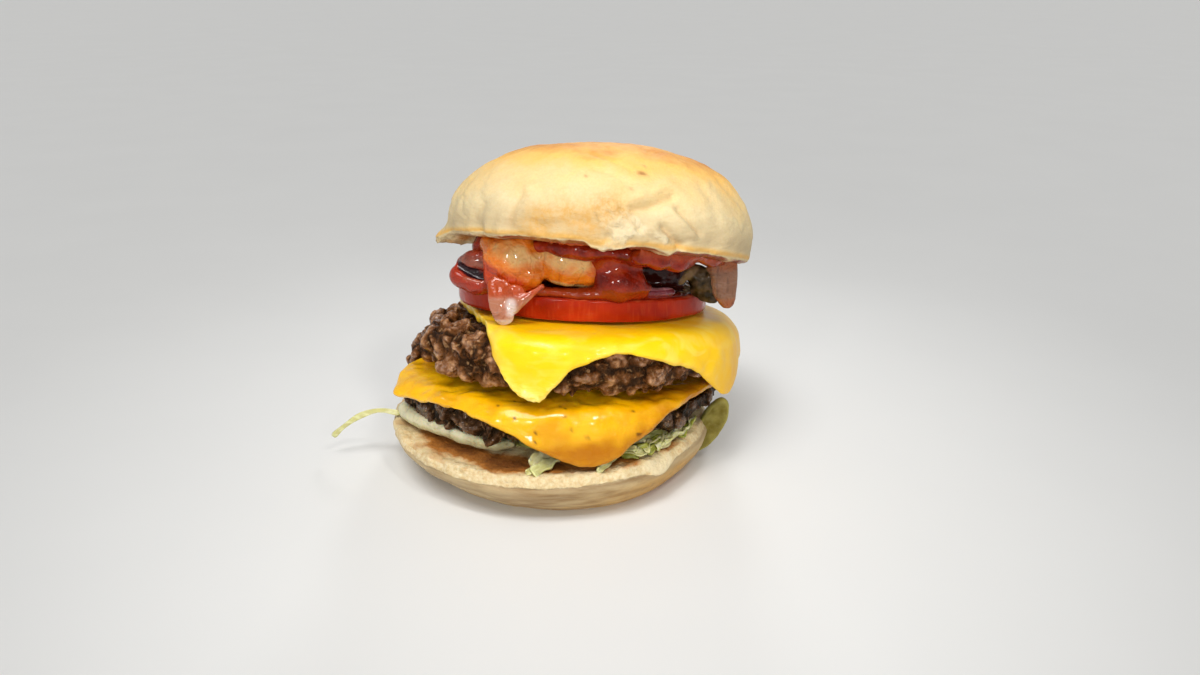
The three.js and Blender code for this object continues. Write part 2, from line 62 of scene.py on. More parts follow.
# The crown's cut face: the middle of it, how far it leans back and to the right, and its radius.
CROWN_SEAT = np.array((15.3, 0.0, 69.9))
CROWN_LEAN_BACK, CROWN_LEAN_SIDE = math.radians(-17.6), math.radians(5.5)
CROWN_TURN = np.array(Euler((CROWN_LEAN_BACK, CROWN_LEAN_SIDE, 0)).to_matrix())
CROWN_RADIUS = 48.4
CROWN_REACH = 46.0  # from the middle of its box to its skin, near enough
HEEL_MIDDLE_X = -1.0

# The planes between the layers: the height on the Z axis and the rise along X and along Y.
HEEL_TOP = (15.3, 0.0, -0.02)
LOWER_PATTY_BOTTOM = (18.3, 0.0, -0.06)
TOMATO_TOP = (59.0, -0.05, -0.18)
TOMATO_UP = np.array((0.05, 0.18, 1.0)) / 1.017
TOMATO_THICKNESS = 7.4
TOMATO_MIDDLE = (10, 10)


def height_of(plane, x, y):
    return plane[0] + plane[1] * x + plane[2] * y


def box_of(node):
    """A node's lowest and highest corners."""
    return (np.array(corner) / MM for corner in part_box(node))


# ---------------------------------------------------------------- meshes as arrays


def points_of(mesh):
    flat = np.empty(3 * len(mesh.vertices))
    mesh.vertices.foreach_get("co", flat)
    return flat.reshape(-1, 3) / MM


def put_points(mesh, points):
    mesh.vertices.foreach_set("co", (points * MM).ravel())
    mesh.update()


def normals_of(mesh):
    flat = np.empty(3 * len(mesh.vertices), np.float32)
    mesh.vertex_normals.foreach_get("vector", flat)
    return flat.reshape(-1, 3).astype(float)


def edges_of(mesh):
    flat = np.empty(2 * len(mesh.edges), np.int32)
    mesh.edges.foreach_get("vertices", flat)
    return flat.reshape(-1, 2)


def paint(mesh, name, values):
    """A value from 0 to 1 at each vertex, or one for all, which a material reads by its name."""
    layer = mesh.attributes.get(name) or mesh.attributes.new(name, "FLOAT", "POINT")
    each = np.clip(values, 0, 1) + np.zeros(len(mesh.vertices))
    layer.data.foreach_set("value", each.astype(np.float32))


def object_from(name, points, faces):
    mesh = bpy.data.meshes.new(name)
    mesh.from_pydata((np.asarray(points) * MM).tolist(), [], faces)
    mesh.update()
    obj = bpy.data.objects.new(name, mesh)
    bpy.context.scene.collection.objects.link(obj)
    return obj


def settled(obj):
    """The object with its modifiers applied."""
    depsgraph = bpy.context.evaluated_depsgraph_get()
    mesh = bpy.data.meshes.new_from_object(obj.evaluated_get(depsgraph))
    obj.modifiers.clear()
    obj.data = mesh
    return obj


def voxelled(obj, size):
    """The object as one closed skin of even quads, with everything inside it gone."""
    even = obj.modifiers.new("even", "REMESH")
    even.mode = "VOXEL"
    even.voxel_size = size * MM
    return settled(obj)


def solid_of(node, name, levels=0, voxel=0.0, rounds=0):
    """A CAD node's shape as a new object, subdivided, or remeshed to even quads, and then smoothed."""
    work = bmesh.new()
    work.from_mesh(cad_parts[node].data)
    bmesh.ops.remove_doubles(work, verts=work.verts, dist=1e-6)
    bmesh.ops.join_triangles(
        work, faces=work.faces, angle_face_threshold=math.pi, angle_shape_threshold=math.pi
    )
    points = np.array([v.co[:] for v in work.verts]) / MM
    faces = [[v.index for v in face.verts] for face in work.faces]
    work.free()
    obj = object_from(name, points, faces)
    if levels:
        finer = obj.modifiers.new("finer", "SUBSURF")
        finer.levels = levels
        settled(obj)
    if voxel:
        voxelled(obj, voxel)
    if rounds:
        put_points(obj.data, smoothed(points_of(obj.data), edges_of(obj.data), rounds))
    return obj


def smoothed(values, edges, rounds, share=0.5):
    """Values at the vertices, eased towards the mean of their neighbours."""
    values = values.reshape(len(values), -1)
    a, b = edges.T
    count = np.maximum(np.bincount(a, minlength=len(values)) + np.bincount(b, minlength=len(values)), 1)
    for _ in range(rounds):
        sums = [
            np.bincount(a, column[b], len(values)) + np.bincount(b, column[a], len(values))
            for column in values.T
        ]
        values = values + share * (np.stack(sums, 1) / count[:, None] - values)
    return values if values.shape[1] > 1 else values[:, 0]


def relief_of(mesh, rounds):
    """How far each vertex stands proud of (above 0) or sunk below (under 0) its surroundings, in mm."""
    points = points_of(mesh)
    soft = smoothed(points, edges_of(mesh), rounds)
    return np.einsum("ij,ij->i", points - soft, normals_of(mesh))


def pushed(mesh, amount):
    """Moves each vertex out along its normal by its amount."""
    put_points(mesh, points_of(mesh) + normals_of(mesh) * np.asarray(amount)[:, None])


def step(values, low, high):
    share = np.clip((values - low) / (high - low), 0, 1)
    return share * share * (3 - 2 * share)


def bell(values, middle, width):
    return np.exp(-(((values - middle) / width) ** 2))


# ---------------------------------------------------------------- noise in space

_draw = np.random.default_rng(7)
SLOPES = _draw.normal(size=(256, 3))
SLOPES /= np.linalg.norm(SLOPES, axis=1)[:, None]


def hashed(cells, seed):
    n = (cells[:, 0] * 73856093) ^ (cells[:, 1] * 19349663) ^ (cells[:, 2] * 83492791) ^ (seed * 50331653)
    n = (n ^ (n >> 15)) * 2246822519
    return (n ^ (n >> 13)) & 0xFFFFFF


def waves(points, size, seed, octaves=1, stretch=(1, 1, 1)):
    """Smooth unevenness about size mm across, from about -1 to 1, with finer waves for each more octave."""
    total, weight = np.zeros(len(points)), 1.0
    for octave in range(octaves):
        q = points / (np.array(stretch) * size) * 2**octave + 17.3 * seed + 5.1 * octave
        cell = np.floor(q).astype(np.int64)
        f = q - cell
        fade = f * f * f * (f * (f * 6 - 15) + 10)
        for corner in np.ndindex(2, 2, 2):
            slope = SLOPES[hashed(cell + corner, seed) % 256]
            share = np.prod(np.where(corner, fade, 1 - fade), axis=1)
            total += 1.7 * weight * share * np.einsum("ij,ij->i", slope, f - corner)
        weight *= 0.5
    return total


def clods(points, size, seed):
    """How far inside its own uneven lump each point is: 0 in the gaps between lumps about size mm across."""
    q = points / size
    q = q + 0.32 * np.stack([waves(q, 0.9, seed + i) for i in (1, 2, 3)], 1)
    cell = np.floor(q).astype(np.int64)
    nearest, second = np.full(len(q), 9.0), np.full(len(q), 9.0)
    for corner in np.ndindex(3, 3, 3):
        at = cell + corner - 1
        code = hashed(at, seed)
        offset = np.stack((code & 255, (code >> 8) & 255, (code >> 16) & 255), 1) / 255
        gap = np.linalg.norm(q - at - 0.1 - 0.8 * offset, axis=1)
        second = np.minimum(second, np.maximum(nearest, gap))
        nearest = np.minimum(nearest, gap)
    return second - nearest


def scattered_on(obj, count, seed, share_at):
    """Points spread by area over a mesh, with their normals. share_at(points) says how densely they lie."""
    mesh = obj.data
    mesh.calc_loop_triangles()
    corners = np.array([t.vertices[:] for t in mesh.loop_triangles])
    points, normals = points_of(mesh), normals_of(mesh)
    a, b, c = points[corners].transpose(1, 0, 2)
    areas = np.linalg.norm(np.cross(b - a, c - a), axis=1) * share_at((a + b + c) / 3)
    draw = np.random.default_rng(seed)
    chosen = draw.choice(len(areas), count, p=areas / areas.sum())
    u, v = draw.random((2, count))
    over = u + v > 1
    u[over], v[over] = 1 - u[over], 1 - v[over]
    weights = np.stack((1 - u - v, u, v), 1)[..., None]
    at = (points[corners[chosen]] * weights).sum(1)
    out = (normals[corners[chosen]] * weights).sum(1)
    return at, out / np.linalg.norm(out, axis=1)[:, None]


def turns(count, seed):
    """Random turns, as 3x3 matrices."""
    draw = np.random.default_rng(seed)
    q, _ = np.linalg.qr(draw.normal(size=(count, 3, 3)))
    return q * np.sign(np.linalg.det(q))[:, None, None]


def round_body(detail):
    """Points and triangles of a body of radius 1, which each lump starts from."""
    body = bmesh.new()
    bmesh.ops.create_icosphere(body, subdivisions=detail, radius=1)
    points = np.array([v.co[:] for v in body.verts])
    faces = np.array([[v.index for v in face.verts] for face in body.faces])
    body.free()
    return points, faces


def pebbles(centres, radii, seed):
    """Uneven rounded lumps at the centres as one set of points and faces. radii has three half sizes each."""
    unit, sides = round_body(2)
    draw = np.random.default_rng(seed)
    shape = unit[None] * radii[:, None, :] * (1 + 0.1 * draw.normal(size=(len(centres), len(unit), 1)))
    points = np.einsum("nij,nvj->nvi", turns(len(centres), seed + 1), shape) + centres[:, None]
    starts = np.arange(len(centres)) * len(unit)
    return points.reshape(-1, 3), (sides[None] + starts[:, None, None]).reshape(-1, 3)


def spline(stops, steps):
    """Points of a smooth line through the stops, which may have any number of columns."""
    stops = np.array(stops, float)
    t = np.linspace(0, len(stops) - 1, steps)
    k = np.clip(t.astype(int), 0, len(stops) - 2)
    f = (t - k)[:, None]
    before, a, b = stops[np.maximum(k - 1, 0)], stops[k], stops[k + 1]
    after = stops[np.minimum(k + 2, len(stops) - 1)]
    bend = (2 * before - 5 * a + 4 * b - after) * f**2 + (3 * a - before - 3 * b + after) * f**3
    return 0.5 * (2 * a + (b - before) * f + bend)


def clay(name, strands, seed, voxel=0.55, rounds=5, with_node=None):
    """Soft lumps run together to one skin. Each strand is its stops, (x, y, z, radius), and its thickness
    along X, Y and Z as a share of that radius. with_node adds a CAD node's own shape, a little thinner."""
    centres, radii = [], []
    for stops, shares in strands:
        line = spline(stops, 3 * len(stops) + 4) if len(stops) > 1 else np.array(stops, float)
        centres.append(line[:, :3])
        radii.append(np.maximum(line[:, 3:], 0.3) * np.array(shares))
    centres, radii = np.concatenate(centres), np.concatenate(radii)
    unit, sides = round_body(3)
    points = (unit[None] * radii[:, None] + centres[:, None]).reshape(-1, 3)
    faces = (sides[None] + (np.arange(len(centres)) * len(unit))[:, None, None]).reshape(-1, 3).tolist()
    if with_node:
        part = solid_of(with_node, name, voxel=0.8, rounds=2)
        pushed(part.data, np.full(len(part.data.vertices), -0.2))
        faces += [[i + len(points) for i in face.vertices] for face in part.data.polygons]
        points = np.concatenate((points, points_of(part.data)))
        bpy.data.objects.remove(part)
    obj = voxelled(object_from(name, points, faces), voxel)
    obj.name = name
    mesh = obj.data
    put_points(mesh, smoothed(points_of(mesh), edges_of(mesh), rounds))
    pushed(mesh, 0.35 * waves(points_of(mesh), 6, seed, octaves=2))
    return obj


def from_line(points, stops):
    """How far each point is from a line through the stops, in mm."""
    stops = np.array(stops, float)
    best = np.full(len(points), 1e3)
    for a, b in zip(stops, stops[1:]):
        ab = b - a
        share = np.clip((points - a) @ ab / (ab @ ab), 0, 1)
        best = np.minimum(best, np.linalg.norm(points - a - share[:, None] * ab, axis=1))
    return best


def along_line(points, stops, width):
    """1 on a line through the stops, fading out at about width mm beside it."""
    return np.exp(-(from_line(points, stops) / width) ** 2)


# ---------------------------------------------------------------- materials


def tone(red, green, blue):
    """A colour given by its display values, from 0 to 255."""
    linear = [(v / 255 / 12.92) if v < 11 else ((v / 255 + 0.055) / 1.055) ** 2.4 for v in (red, green, blue)]
    return (*linear, 1.0)


class Look:
    """A material, with short ways to wire its nodes. Texture sizes are in millimetres of the part's frame."""

    def __init__(self, name, **sockets):
        self.material = bpy.data.materials.new(name)
        self.material.use_nodes = True
        self.tree = self.material.node_tree
        self.shader = self.tree.nodes["Principled BSDF"]
        for socket, value in sockets.items():
            self.shader.inputs[socket.replace("_", " ")].default_value = value
        where = self.node("TexCoord").outputs["Object"]
        self.place = self.node("VectorMath", {0: where, 1: (1 / MM,) * 3}, operation="MULTIPLY").outputs[0]

    def node(self, kind, inputs=None, **settings):
        made = self.tree.nodes.new("ShaderNode" + kind)
        for key, value in settings.items():
            setattr(made, key, value)
        for key, value in (inputs or {}).items():
            if isinstance(value, bpy.types.NodeSocket):
                self.tree.links.new(value, made.inputs[key])
            else:
                made.inputs[key].default_value = value
        return made

    def give(self, **links):
        for socket, value in links.items():
            self.tree.links.new(value, self.shader.inputs[socket.replace("_", " ")])

    def scaled(self, size, stretch, seed):
        by = [1 / (size * s) for s in stretch]
        inputs = {0: self.place, 1: by, 2: (3.7 * seed,) * 3}
        return self.node("VectorMath", inputs, operation="MULTIPLY_ADD").outputs[0]

    def noise(self, size, detail=2.0, rough=0.5, twist=0.0, stretch=(1, 1, 1), *, seed):
        inputs = {"Vector": self.scaled(size, stretch, seed), "Scale": 1.0, "Detail": detail}
        inputs.update({"Roughness": rough, "Distortion": twist})
        return self.node("TexNoise", inputs).outputs[0]

    def soft_cells(self, size, seed):
        inputs = {"Vector": self.scaled(size, (1, 1, 1), seed), "Scale": 1.0}
        return self.node("TexVoronoi", inputs, feature="SMOOTH_F1").outputs["Distance"]

    def value(self, name):
        return self.node("Attribute", attribute_name=name).outputs["Fac"]

    def math(self, operation, a, b):
        return self.node("Math", {0: a, 1: b}, operation=operation).outputs[0]

    def varied(self, value, noise, amount):
        """A value raised and lowered by a noise."""
        swing = self.math("MULTIPLY", self.math("SUBTRACT", noise, 0.5), amount)
        return self.math("ADD", value, swing)

    def step(self, value, low, high, to=(0.0, 1.0)):
        inputs = {"Value": value, "From Min": low, "From Max": high, "To Min": to[0], "To Max": to[1]}
        return self.node("MapRange", inputs, interpolation_type="SMOOTHSTEP").outputs["Result"]

    def mix(self, share, a, b):
        return self.node("Mix", {0: share, 6: a, 7: b}, data_type="RGBA").outputs[2]

    def ramp(self, value, *stops):
        made = self.node("ValToRGB", {"Fac": value})
        band = made.color_ramp
        for place, colour in stops[2:]:
            band.elements.new(place)
        for element, (place, colour) in zip(band.elements, sorted(stops, key=lambda stop: stop[0])):
            element.position = place
            element.color = colour
        return made.outputs["Color"]

    def bump(self, height, depth, under=None):
        """Relief of that depth in mm, on top of another relief."""
        inputs = {"Height": height, "Distance": depth * MM}
        if under is not None:
            inputs["Normal"] = under
        return self.node("Bump", inputs).outputs[0]


def finish_piece(obj, look, node):
    """Gives the object its material and smooth shading, hangs it on the root body, and hides the CAD node it
    replaces.
    """
    mesh = obj.data
    mesh.materials.clear()
    mesh.materials.append(look.material)
    mesh.polygons.foreach_set("use_smooth", np.ones(len(mesh.polygons), bool))
    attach(obj, "root")
    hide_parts(node)


# ---------------------------------------------------------------- bread


def bread_look():
    """Soft baked bread: crust by how browned it is, crumb where cut or torn, toasted or soaked in places."""
    look = Look(
        "Bread", Specular_IOR_Level=0.28,
        Subsurface_Weight=0.12, Subsurface_Scale=0.002, Subsurface_Radius=(1.0, 0.6, 0.3),
    )
    blotch = look.noise(13, detail=3, seed=1)
    mottle = look.noise(3.2, detail=3, rough=0.6, seed=2)
    grain = look.noise(0.7, detail=2, rough=0.6, seed=3)
    browned = look.varied(look.varied(look.value("browned"), blotch, 0.42), mottle, 0.22)
    crust = look.ramp(
        browned,
        (0.0, tone(204, 184, 144)),
        (0.3, tone(222, 202, 156)),
        (0.55, tone(234, 202, 140)),
        (0.78, tone(247, 194, 102)),
        (1.0, tone(214, 142, 62)),
    )
    crust = look.mix(look.step(grain, 0.35, 0.75, (0.0, 0.16)), crust, tone(198, 160, 104))
    pores = look.noise(1.5, detail=3, rough=0.65, seed=4)
    crumb = look.ramp(
        pores, (0.3, tone(204, 172, 122)), (0.5, tone(218, 196, 150)), (0.75, tone(234, 218, 180))
    )
    streaks = look.noise(3.4, detail=3, stretch=(3, 3, 0.5), seed=7)
    cut = look.step(look.varied(look.value("cut"), mottle, 0.7), 0.35, 0.6)
    # Painted shade on the low sides of the bread, broken up by streaks.
    dull = look.math("MULTIPLY", look.value("dull"), look.step(streaks, 0.3, 0.7, (0.55, 1.0)))
    crust = look.mix(dull, crust, tone(140, 110, 72))
    colour = look.mix(cut, crust, crumb)
    torn = look.step(look.varied(look.value("torn"), mottle, 0.7), 0.4, 0.75)
    colour = look.mix(look.math("MULTIPLY", torn, 0.75), colour, tone(222, 206, 168))
    charred = look.varied(look.value("toast"), pores, 0.5)
    toast = look.ramp(
        charred, (0.0, tone(214, 168, 104)), (0.45, tone(176, 112, 46)), (1.0, tone(104, 58, 18))
    )
    colour = look.mix(look.step(charred, 0.15, 0.55), colour, toast)
    wet = look.step(look.varied(look.value("soaked"), mottle, 0.7), 0.3, 0.7)
    colour = look.mix(look.math("MULTIPLY", wet, 0.94), colour, tone(128, 42, 12))
    # Folds and grooves are painted darker by crease: a painted shade.
    colour = look.mix(look.step(look.value("crease"), 0.0, 1.0, (0.0, 0.3)), colour, tone(196, 152, 96))
    speckle = look.noise(1.3, detail=3, rough=0.7, seed=8)
    scuffed = look.math("MULTIPLY", look.value("scuffed"), look.step(speckle, 0.35, 0.65, (0.5, 0.9)))
    colour = look.mix(scuffed, colour, tone(204, 156, 80))
    colour = look.mix(look.value("spot"), colour, tone(142, 78, 36))
    look.give(Base_Color=colour, Roughness=look.step(wet, 0.0, 1.0, (0.62, 0.28)))
    skin = look.noise(2.2, detail=4, rough=0.55, stretch=(1.6, 1.6, 0.6), seed=5)
    open_crumb = look.math("MULTIPLY", look.noise(1.1, detail=3, seed=6), look.math("MAXIMUM", cut, torn))
    normal = look.bump(open_crumb, 0.45, look.bump(skin, 0.34))
    look.give(Normal=look.bump(grain, 0.06, normal))
    return look


def towards(azimuth, elevation):
    a, e = math.radians(azimuth), math.radians(elevation)
    return np.array((math.cos(e) * math.cos(a), math.cos(e) * math.sin(a), math.sin(e)))


def on_route(directions, route, width):
    """1 on a route of (azimuth, elevation) stops over a round body, fading out about width mm beside it."""
    stops = [towards(*stop) for stop in route]
    best = np.full(len(directions), 9.0)
    for a, b in zip(stops, stops[1:] if len(stops) > 1 else stops):
        ab = b - a
        share = np.clip((directions - a) @ ab / max(ab @ ab, 1e-9), 0, 1)
        best = np.minimum(best, np.linalg.norm(directions - a - share[:, None] * ab, axis=1))
    return np.exp(-((best * CROWN_REACH / width) ** 2))


# Wrinkles of the crown, as seen from the middle of its box: height in mm (below 0 is a fold), width, stops.
CROWN_FOLDS = [
    (0.7, 2.6, [(-125, 7.5), (-122, 12.5), (-119, 17), (-117, 21.5)]),
    (-0.9, 1.9, [(-122, 9), (-121, 14), (-119, 19)]),
    (-0.5, 2.2, [(-135.5, 5), (-139, 9), (-136.5, 13)]),
    (0.4, 2.4, [(-131, 6), (-131.5, 11), (-129, 16)]),
    (-1.3, 1.4, [(-77, 15.5), (-71, 16), (-66, 17.5), (-61, 18.5)]),
    (0.8, 2.6, [(-75, 20), (-68, 20.5), (-60, 22.5)]),
    (-1.3, 1.2, [(-67, 8.5), (-64.5, 5), (-61.5, 2)]),
    (0.8, 2.0, [(-71, 8.5), (-68.5, 4.5), (-66, 1)]),
    (-1.0, 1.1, [(-60, 13.5), (-56, 9), (-53, 5)]),
    (0.6, 1.8, [(-63.5, 13), (-60, 9), (-57, 5)]),
    (-0.3, 0.8, [(-94, 41), (-84, 37), (-76, 32), (-72, 27)]),
    (-0.3, 0.8, [(-93, 32), (-84, 29.5), (-78, 25), (-76, 21)]),
    (-0.5, 1.3, [(-110, 9), (-104, 10.5), (-98, 12), (-92, 11)]),
    (0.7, 1.8, [(-84, 16.5), (-80.5, 12.5), (-77.5, 9), (-76, 5)]),
    (-0.8, 1.0, [(-81.5, 15.5), (-78.5, 11.5), (-75.5, 8)]),
]


def crown():
    obj = solid_of("bun_crown", "Bun_crown", levels=3)
    mesh = obj.data
    low, high = box_of("bun_crown")
    points = points_of(mesh)
    away = points - (low + high) / 2
    directions = away / np.linalg.norm(away, axis=1)[:, None]
    own = (points - CROWN_SEAT) @ CROWN_TURN
    facing = normals_of(mesh) @ CROWN_TURN
    height = own[:, 2]
    outside = step(facing[:, 2], -0.75, -0.4)
    angle = np.degrees(np.arctan2(own[:, 1], own[:, 0]))

    moved = 0.5 * waves(points, 17, 1) + 0.22 * waves(points, 6, 2, octaves=2) * outside
    # crease gathers how deep each fold runs, which the bread paints darker as a painted shade in the fold.
    crease = np.zeros(len(points))
    for rise, width, route in CROWN_FOLDS:
        felt = on_route(directions, route, width)
        moved += 1.35 * rise * felt * (1 + 0.3 * waves(points, 4, 3))
        if rise < -0.4:
            crease += 0.8 * on_route(directions, route, 0.5 * width) * -rise
    # The sides and back wrinkle in the same way near the lip.
    draw = np.random.default_rng(11)
    for azimuth in np.arange(-40, 215, 15):
        start = azimuth + draw.uniform(-5, 5)
        lean, rise = draw.uniform(-7, 7), draw.uniform(9, 16)
        foot = draw.uniform(0, 5) - 10 * math.sin(math.radians(start))
        route = [(start + lean * t, foot + rise * t) for t in (0, 0.5, 1)]
        depth = draw.uniform(0.25, 0.7)
        moved -= depth * on_route(directions, route, 1.7)
        moved += 0.6 * depth * on_route(directions, [(a + 4.5, e) for a, e in route], 2.4)
        crease += 0.5 * depth * on_route(directions, route, 1.0)
    # Dough skin puckers in soft lines, most of all low down.
    wrinkle = 1 - np.abs(waves(points, 11, 15, octaves=2, stretch=(1.0, 1.0, 1.3)))
    moved -= 0.2 * outside * step(wrinkle, 0.78, 1.0) * (0.5 + step(height, 24, 8))
    torn = on_route(directions, [(-88, 17), (-85, 13), (-82, 9), (-85, 4.5)], 4.4)
    torn += 0.9 * on_route(directions, [(-82, 12), (-75, 9), (-67, 5.5)], 2.6)
    scuffed = on_route(directions, [(-112, 10.5), (-103, 13), (-93, 12.5), (-84, 16.5)], 5.0)
    moved += torn * (0.6 * waves(points, 2.4, 5, octaves=2) + 0.2)
    moved += 0.3 * scuffed * waves(points, 2.6, 6, octaves=2)
    lip = bell(height, 1.3, 1.6) * outside
    moved += 0.45 * lip * waves(points, 7, 7, octaves=3)
    moved += (1 - outside) * (0.35 * waves(points, 2.4, 8, octaves=2))
    pushed(mesh, moved)
    hanging = on_route(directions, [(-91, 5), (-87, 3.5), (-82, 5.5)], 2.0)
    put_points(mesh, points_of(mesh) - np.outer(1.5 * hanging * bell(height, 0.6, 2.4), UP))

    # A shred of the lip has torn loose at the left and sticks out.
    points = points_of(mesh)
    flap = on_route(directions, [(-175, -8), (-168, -8)], 3.6) * bell(height, 0.8, 2.8)
    points += np.outer(flap, (-3.4, -1.2, -1.6)) * (1 + 0.6 * waves(points, 2.0, 16))[:, None]
    put_points(mesh, points)

    browned = 0.14 + 0.5 * step(height, 1.5, 24) + 0.3 * step(height, 17, 31)
    browned += 0.6 * bell(height, 1.4, 1.0) * outside - 0.1 * bell(height, 6, 4)
    paint(mesh, "browned", browned)
    scuffed *= 1.0 + 0.6 * waves(points, 5, 9)
    paint(mesh, "scuffed", scuffed + 0.6 * bell(height, 1.2, 1.0) * outside)
    paint(mesh, "torn", torn * (0.75 + 0.5 * waves(points, 3.5, 10)))
    under = 1 - step(facing[:, 2], -0.9, -0.5)
    paint(mesh, "cut", under)
    share = np.hypot(own[:, 0], own[:, 1]) / CROWN_RADIUS
    paint(mesh, "toast", 0.5 * under * bell(share, 0.86, 0.1) * (1 + 0.5 * waves(points, 8, 11)))
    front = step(-own[:, 1], -14, 10)
    soaked = under * front * step(own[:, 0], -38, -27) * (0.75 + 0.5 * waves(points, 9, 12))
    soaked += 0.9 * outside * bell(height, 0.35, 0.55) * bell(angle, -88, 42)
    paint(mesh, "soaked", soaked)
    paint(mesh, "crease", crease)
    spot = 0.9 * on_route(directions, [(-71, 29), (-69.5, 28.5)], 0.9)
    for place in ((-67, 32.5), (-77, 22.5), (-94.5, 28)):
        spot += 0.6 * on_route(directions, [place], 0.55)
    paint(mesh, "spot", spot * (0.8 + 0.4 * waves(points, 1.2, 13)))
    # Painted shade on the crown's low outer sides that face down.
    paint(mesh, "dull", 0.3 * step(height, 12, 3) * outside * step(facing[:, 2], 0.35, -0.1))
    finish_piece(obj, BREAD, "bun_crown")


def heel():
    obj = solid_of("bun_heel", "Bun_heel", levels=3)
    mesh = obj.data
    points = points_of(mesh)
    facing = normals_of(mesh)[:, 2]
    height = points[:, 2]
    x, y = points[:, 0] - HEEL_MIDDLE_X, points[:, 1]
    radius = np.hypot(x, y)
    angle = np.degrees(np.arctan2(y, x))
    top = step(facing, 0.55, 0.85) * step(height, 11, 13)
    rim = bell(radius, 51, 2.2) * step(height, 11.5, 14)
    side = step(height, 0.8, 3) * (1 - top)
    moved = side * (0.4 * waves(points, 14, 21) + 0.22 * waves(points, 5, 22, octaves=2, stretch=(2, 2, 0.6)))
    grooves = side * step(waves(points, 6.5, 23, octaves=2, stretch=(3.2, 3.2, 0.5)), 0.25, 0.6)
    moved -= 0.22 * grooves
    moved += top * 0.45 * waves(points, 2.4, 24, octaves=3)
    moved += rim * (0.6 * waves(points, 6, 25, octaves=3) + 0.1)
    moved -= 1.6 * rim * bell(angle, -143, 5)
    pushed(mesh, moved)
    flap = bell(angle, -48, 5) * bell(height, 13.5, 2.2) * step(radius, 46, 50)
    outward = np.stack((x, y, 0 * height), 1) / np.maximum(radius, 1)[:, None]
    points = points_of(mesh) + (outward * 1.3 - UP * 1.6) * flap[:, None]
    put_points(mesh, points)
    browned = 0.1 + 0.14 * step(height, 10, 3) + 0.28 * step(facing, -0.45, -0.95)
    paint(mesh, "browned", browned + 0.5 * bell(angle, -38, 30) * (1 - step(height, 9, 13)))
    paint(mesh, "cut", np.maximum(top, rim) + 0.9 * flap)
    paint(mesh, "torn", 0.45 * rim + flap)
    ring = bell(radius - 2.5 * bell(angle, -75, 30), 41.5, 5.2) * top
    ring *= (0.95 + 0.4 * waves(points, 9, 26, octaves=2)) * (1 - 0.5 * bell(angle, -160, 25))
    paint(mesh, "toast", ring + 0.3 * top * step(waves(points, 10, 27), 0.1, 0.6))
    paint(mesh, "soaked", 0)
    # The grooves in the side are painted darker: a painted shade.
    paint(mesh, "crease", 0.3 * grooves)
    paint(mesh, "spot", 0)
    paint(mesh, "scuffed", 0.8 * side * bell(angle, -40, 28) * step(height, 13, 8))
    # Painted shade over the heel's side, deepest low down and at the front, least at the left.
    dull = 0.72 + 0.35 * step(height, 10, 4)
    dull += 0.25 * bell(angle, -80, 40) - 0.25 * bell(angle, -170, 50)
    paint(mesh, "dull", side * dull)
    finish_piece(obj, BREAD, "bun_heel")


# ---------------------------------------------------------------- beef


def beef_look(name, raised, flat, sunk):
    """Browned ground beef, darker down in its gaps with a painted shade, with bits of fat and grease on what
    stands out.
    """
    look = Look(
        name, Coat_Roughness=0.11, Coat_IOR=1.75,
        Specular_IOR_Level=0.2, Specular_Tint=(1.0, 0.7, 0.42, 1.0),
    )
    lumps = look.noise(2.6, detail=3, rough=0.6, seed=31)
    fine = look.noise(0.8, detail=3, rough=0.7, seed=32)
    stand = look.varied(look.value("relief"), lumps, 0.5)
    # Relief picks the colour: the sunk colour down in the gaps is a painted shade.
    colour = look.ramp(stand, (0.1, sunk), (0.42, flat), (0.85, raised))
    colour = look.mix(look.step(look.noise(7, seed=33), 0.5, 0.72, (0.0, 0.5)), colour, flat)
    fat = look.step(look.noise(1.9, detail=2, seed=34), 0.6, 0.72, (0.0, 0.5))
    colour = look.mix(fat, colour, tone(190, 146, 100))
    # Pits of the fine bump get the sunk colour too, a painted shade in them.
    colour = look.mix(look.step(fine, 0.3, 0.55, (0.4, 0.0)), colour, sunk)
    rough = look.step(look.noise(3.0, detail=2, seed=35), 0.4, 0.6, (0.5, 0.16))
    normal = look.bump(look.soft_cells(1.2, seed=36), 0.6)
    normal = look.bump(fine, 0.5, normal)
    greasy = look.math("MULTIPLY", look.step(stand, 0.3, 0.6), look.step(lumps, 0.4, 0.6, (0.4, 1.0)))
    look.give(Base_Color=colour, Roughness=rough, Normal=normal)
    look.give(Coat_Weight=greasy, Coat_Normal=look.bump(lumps, 1.1, normal))
    return look


PATTY_LUMPS, PATTY_GRAINS, PATTY_VOXEL = 52, 260, 0.56


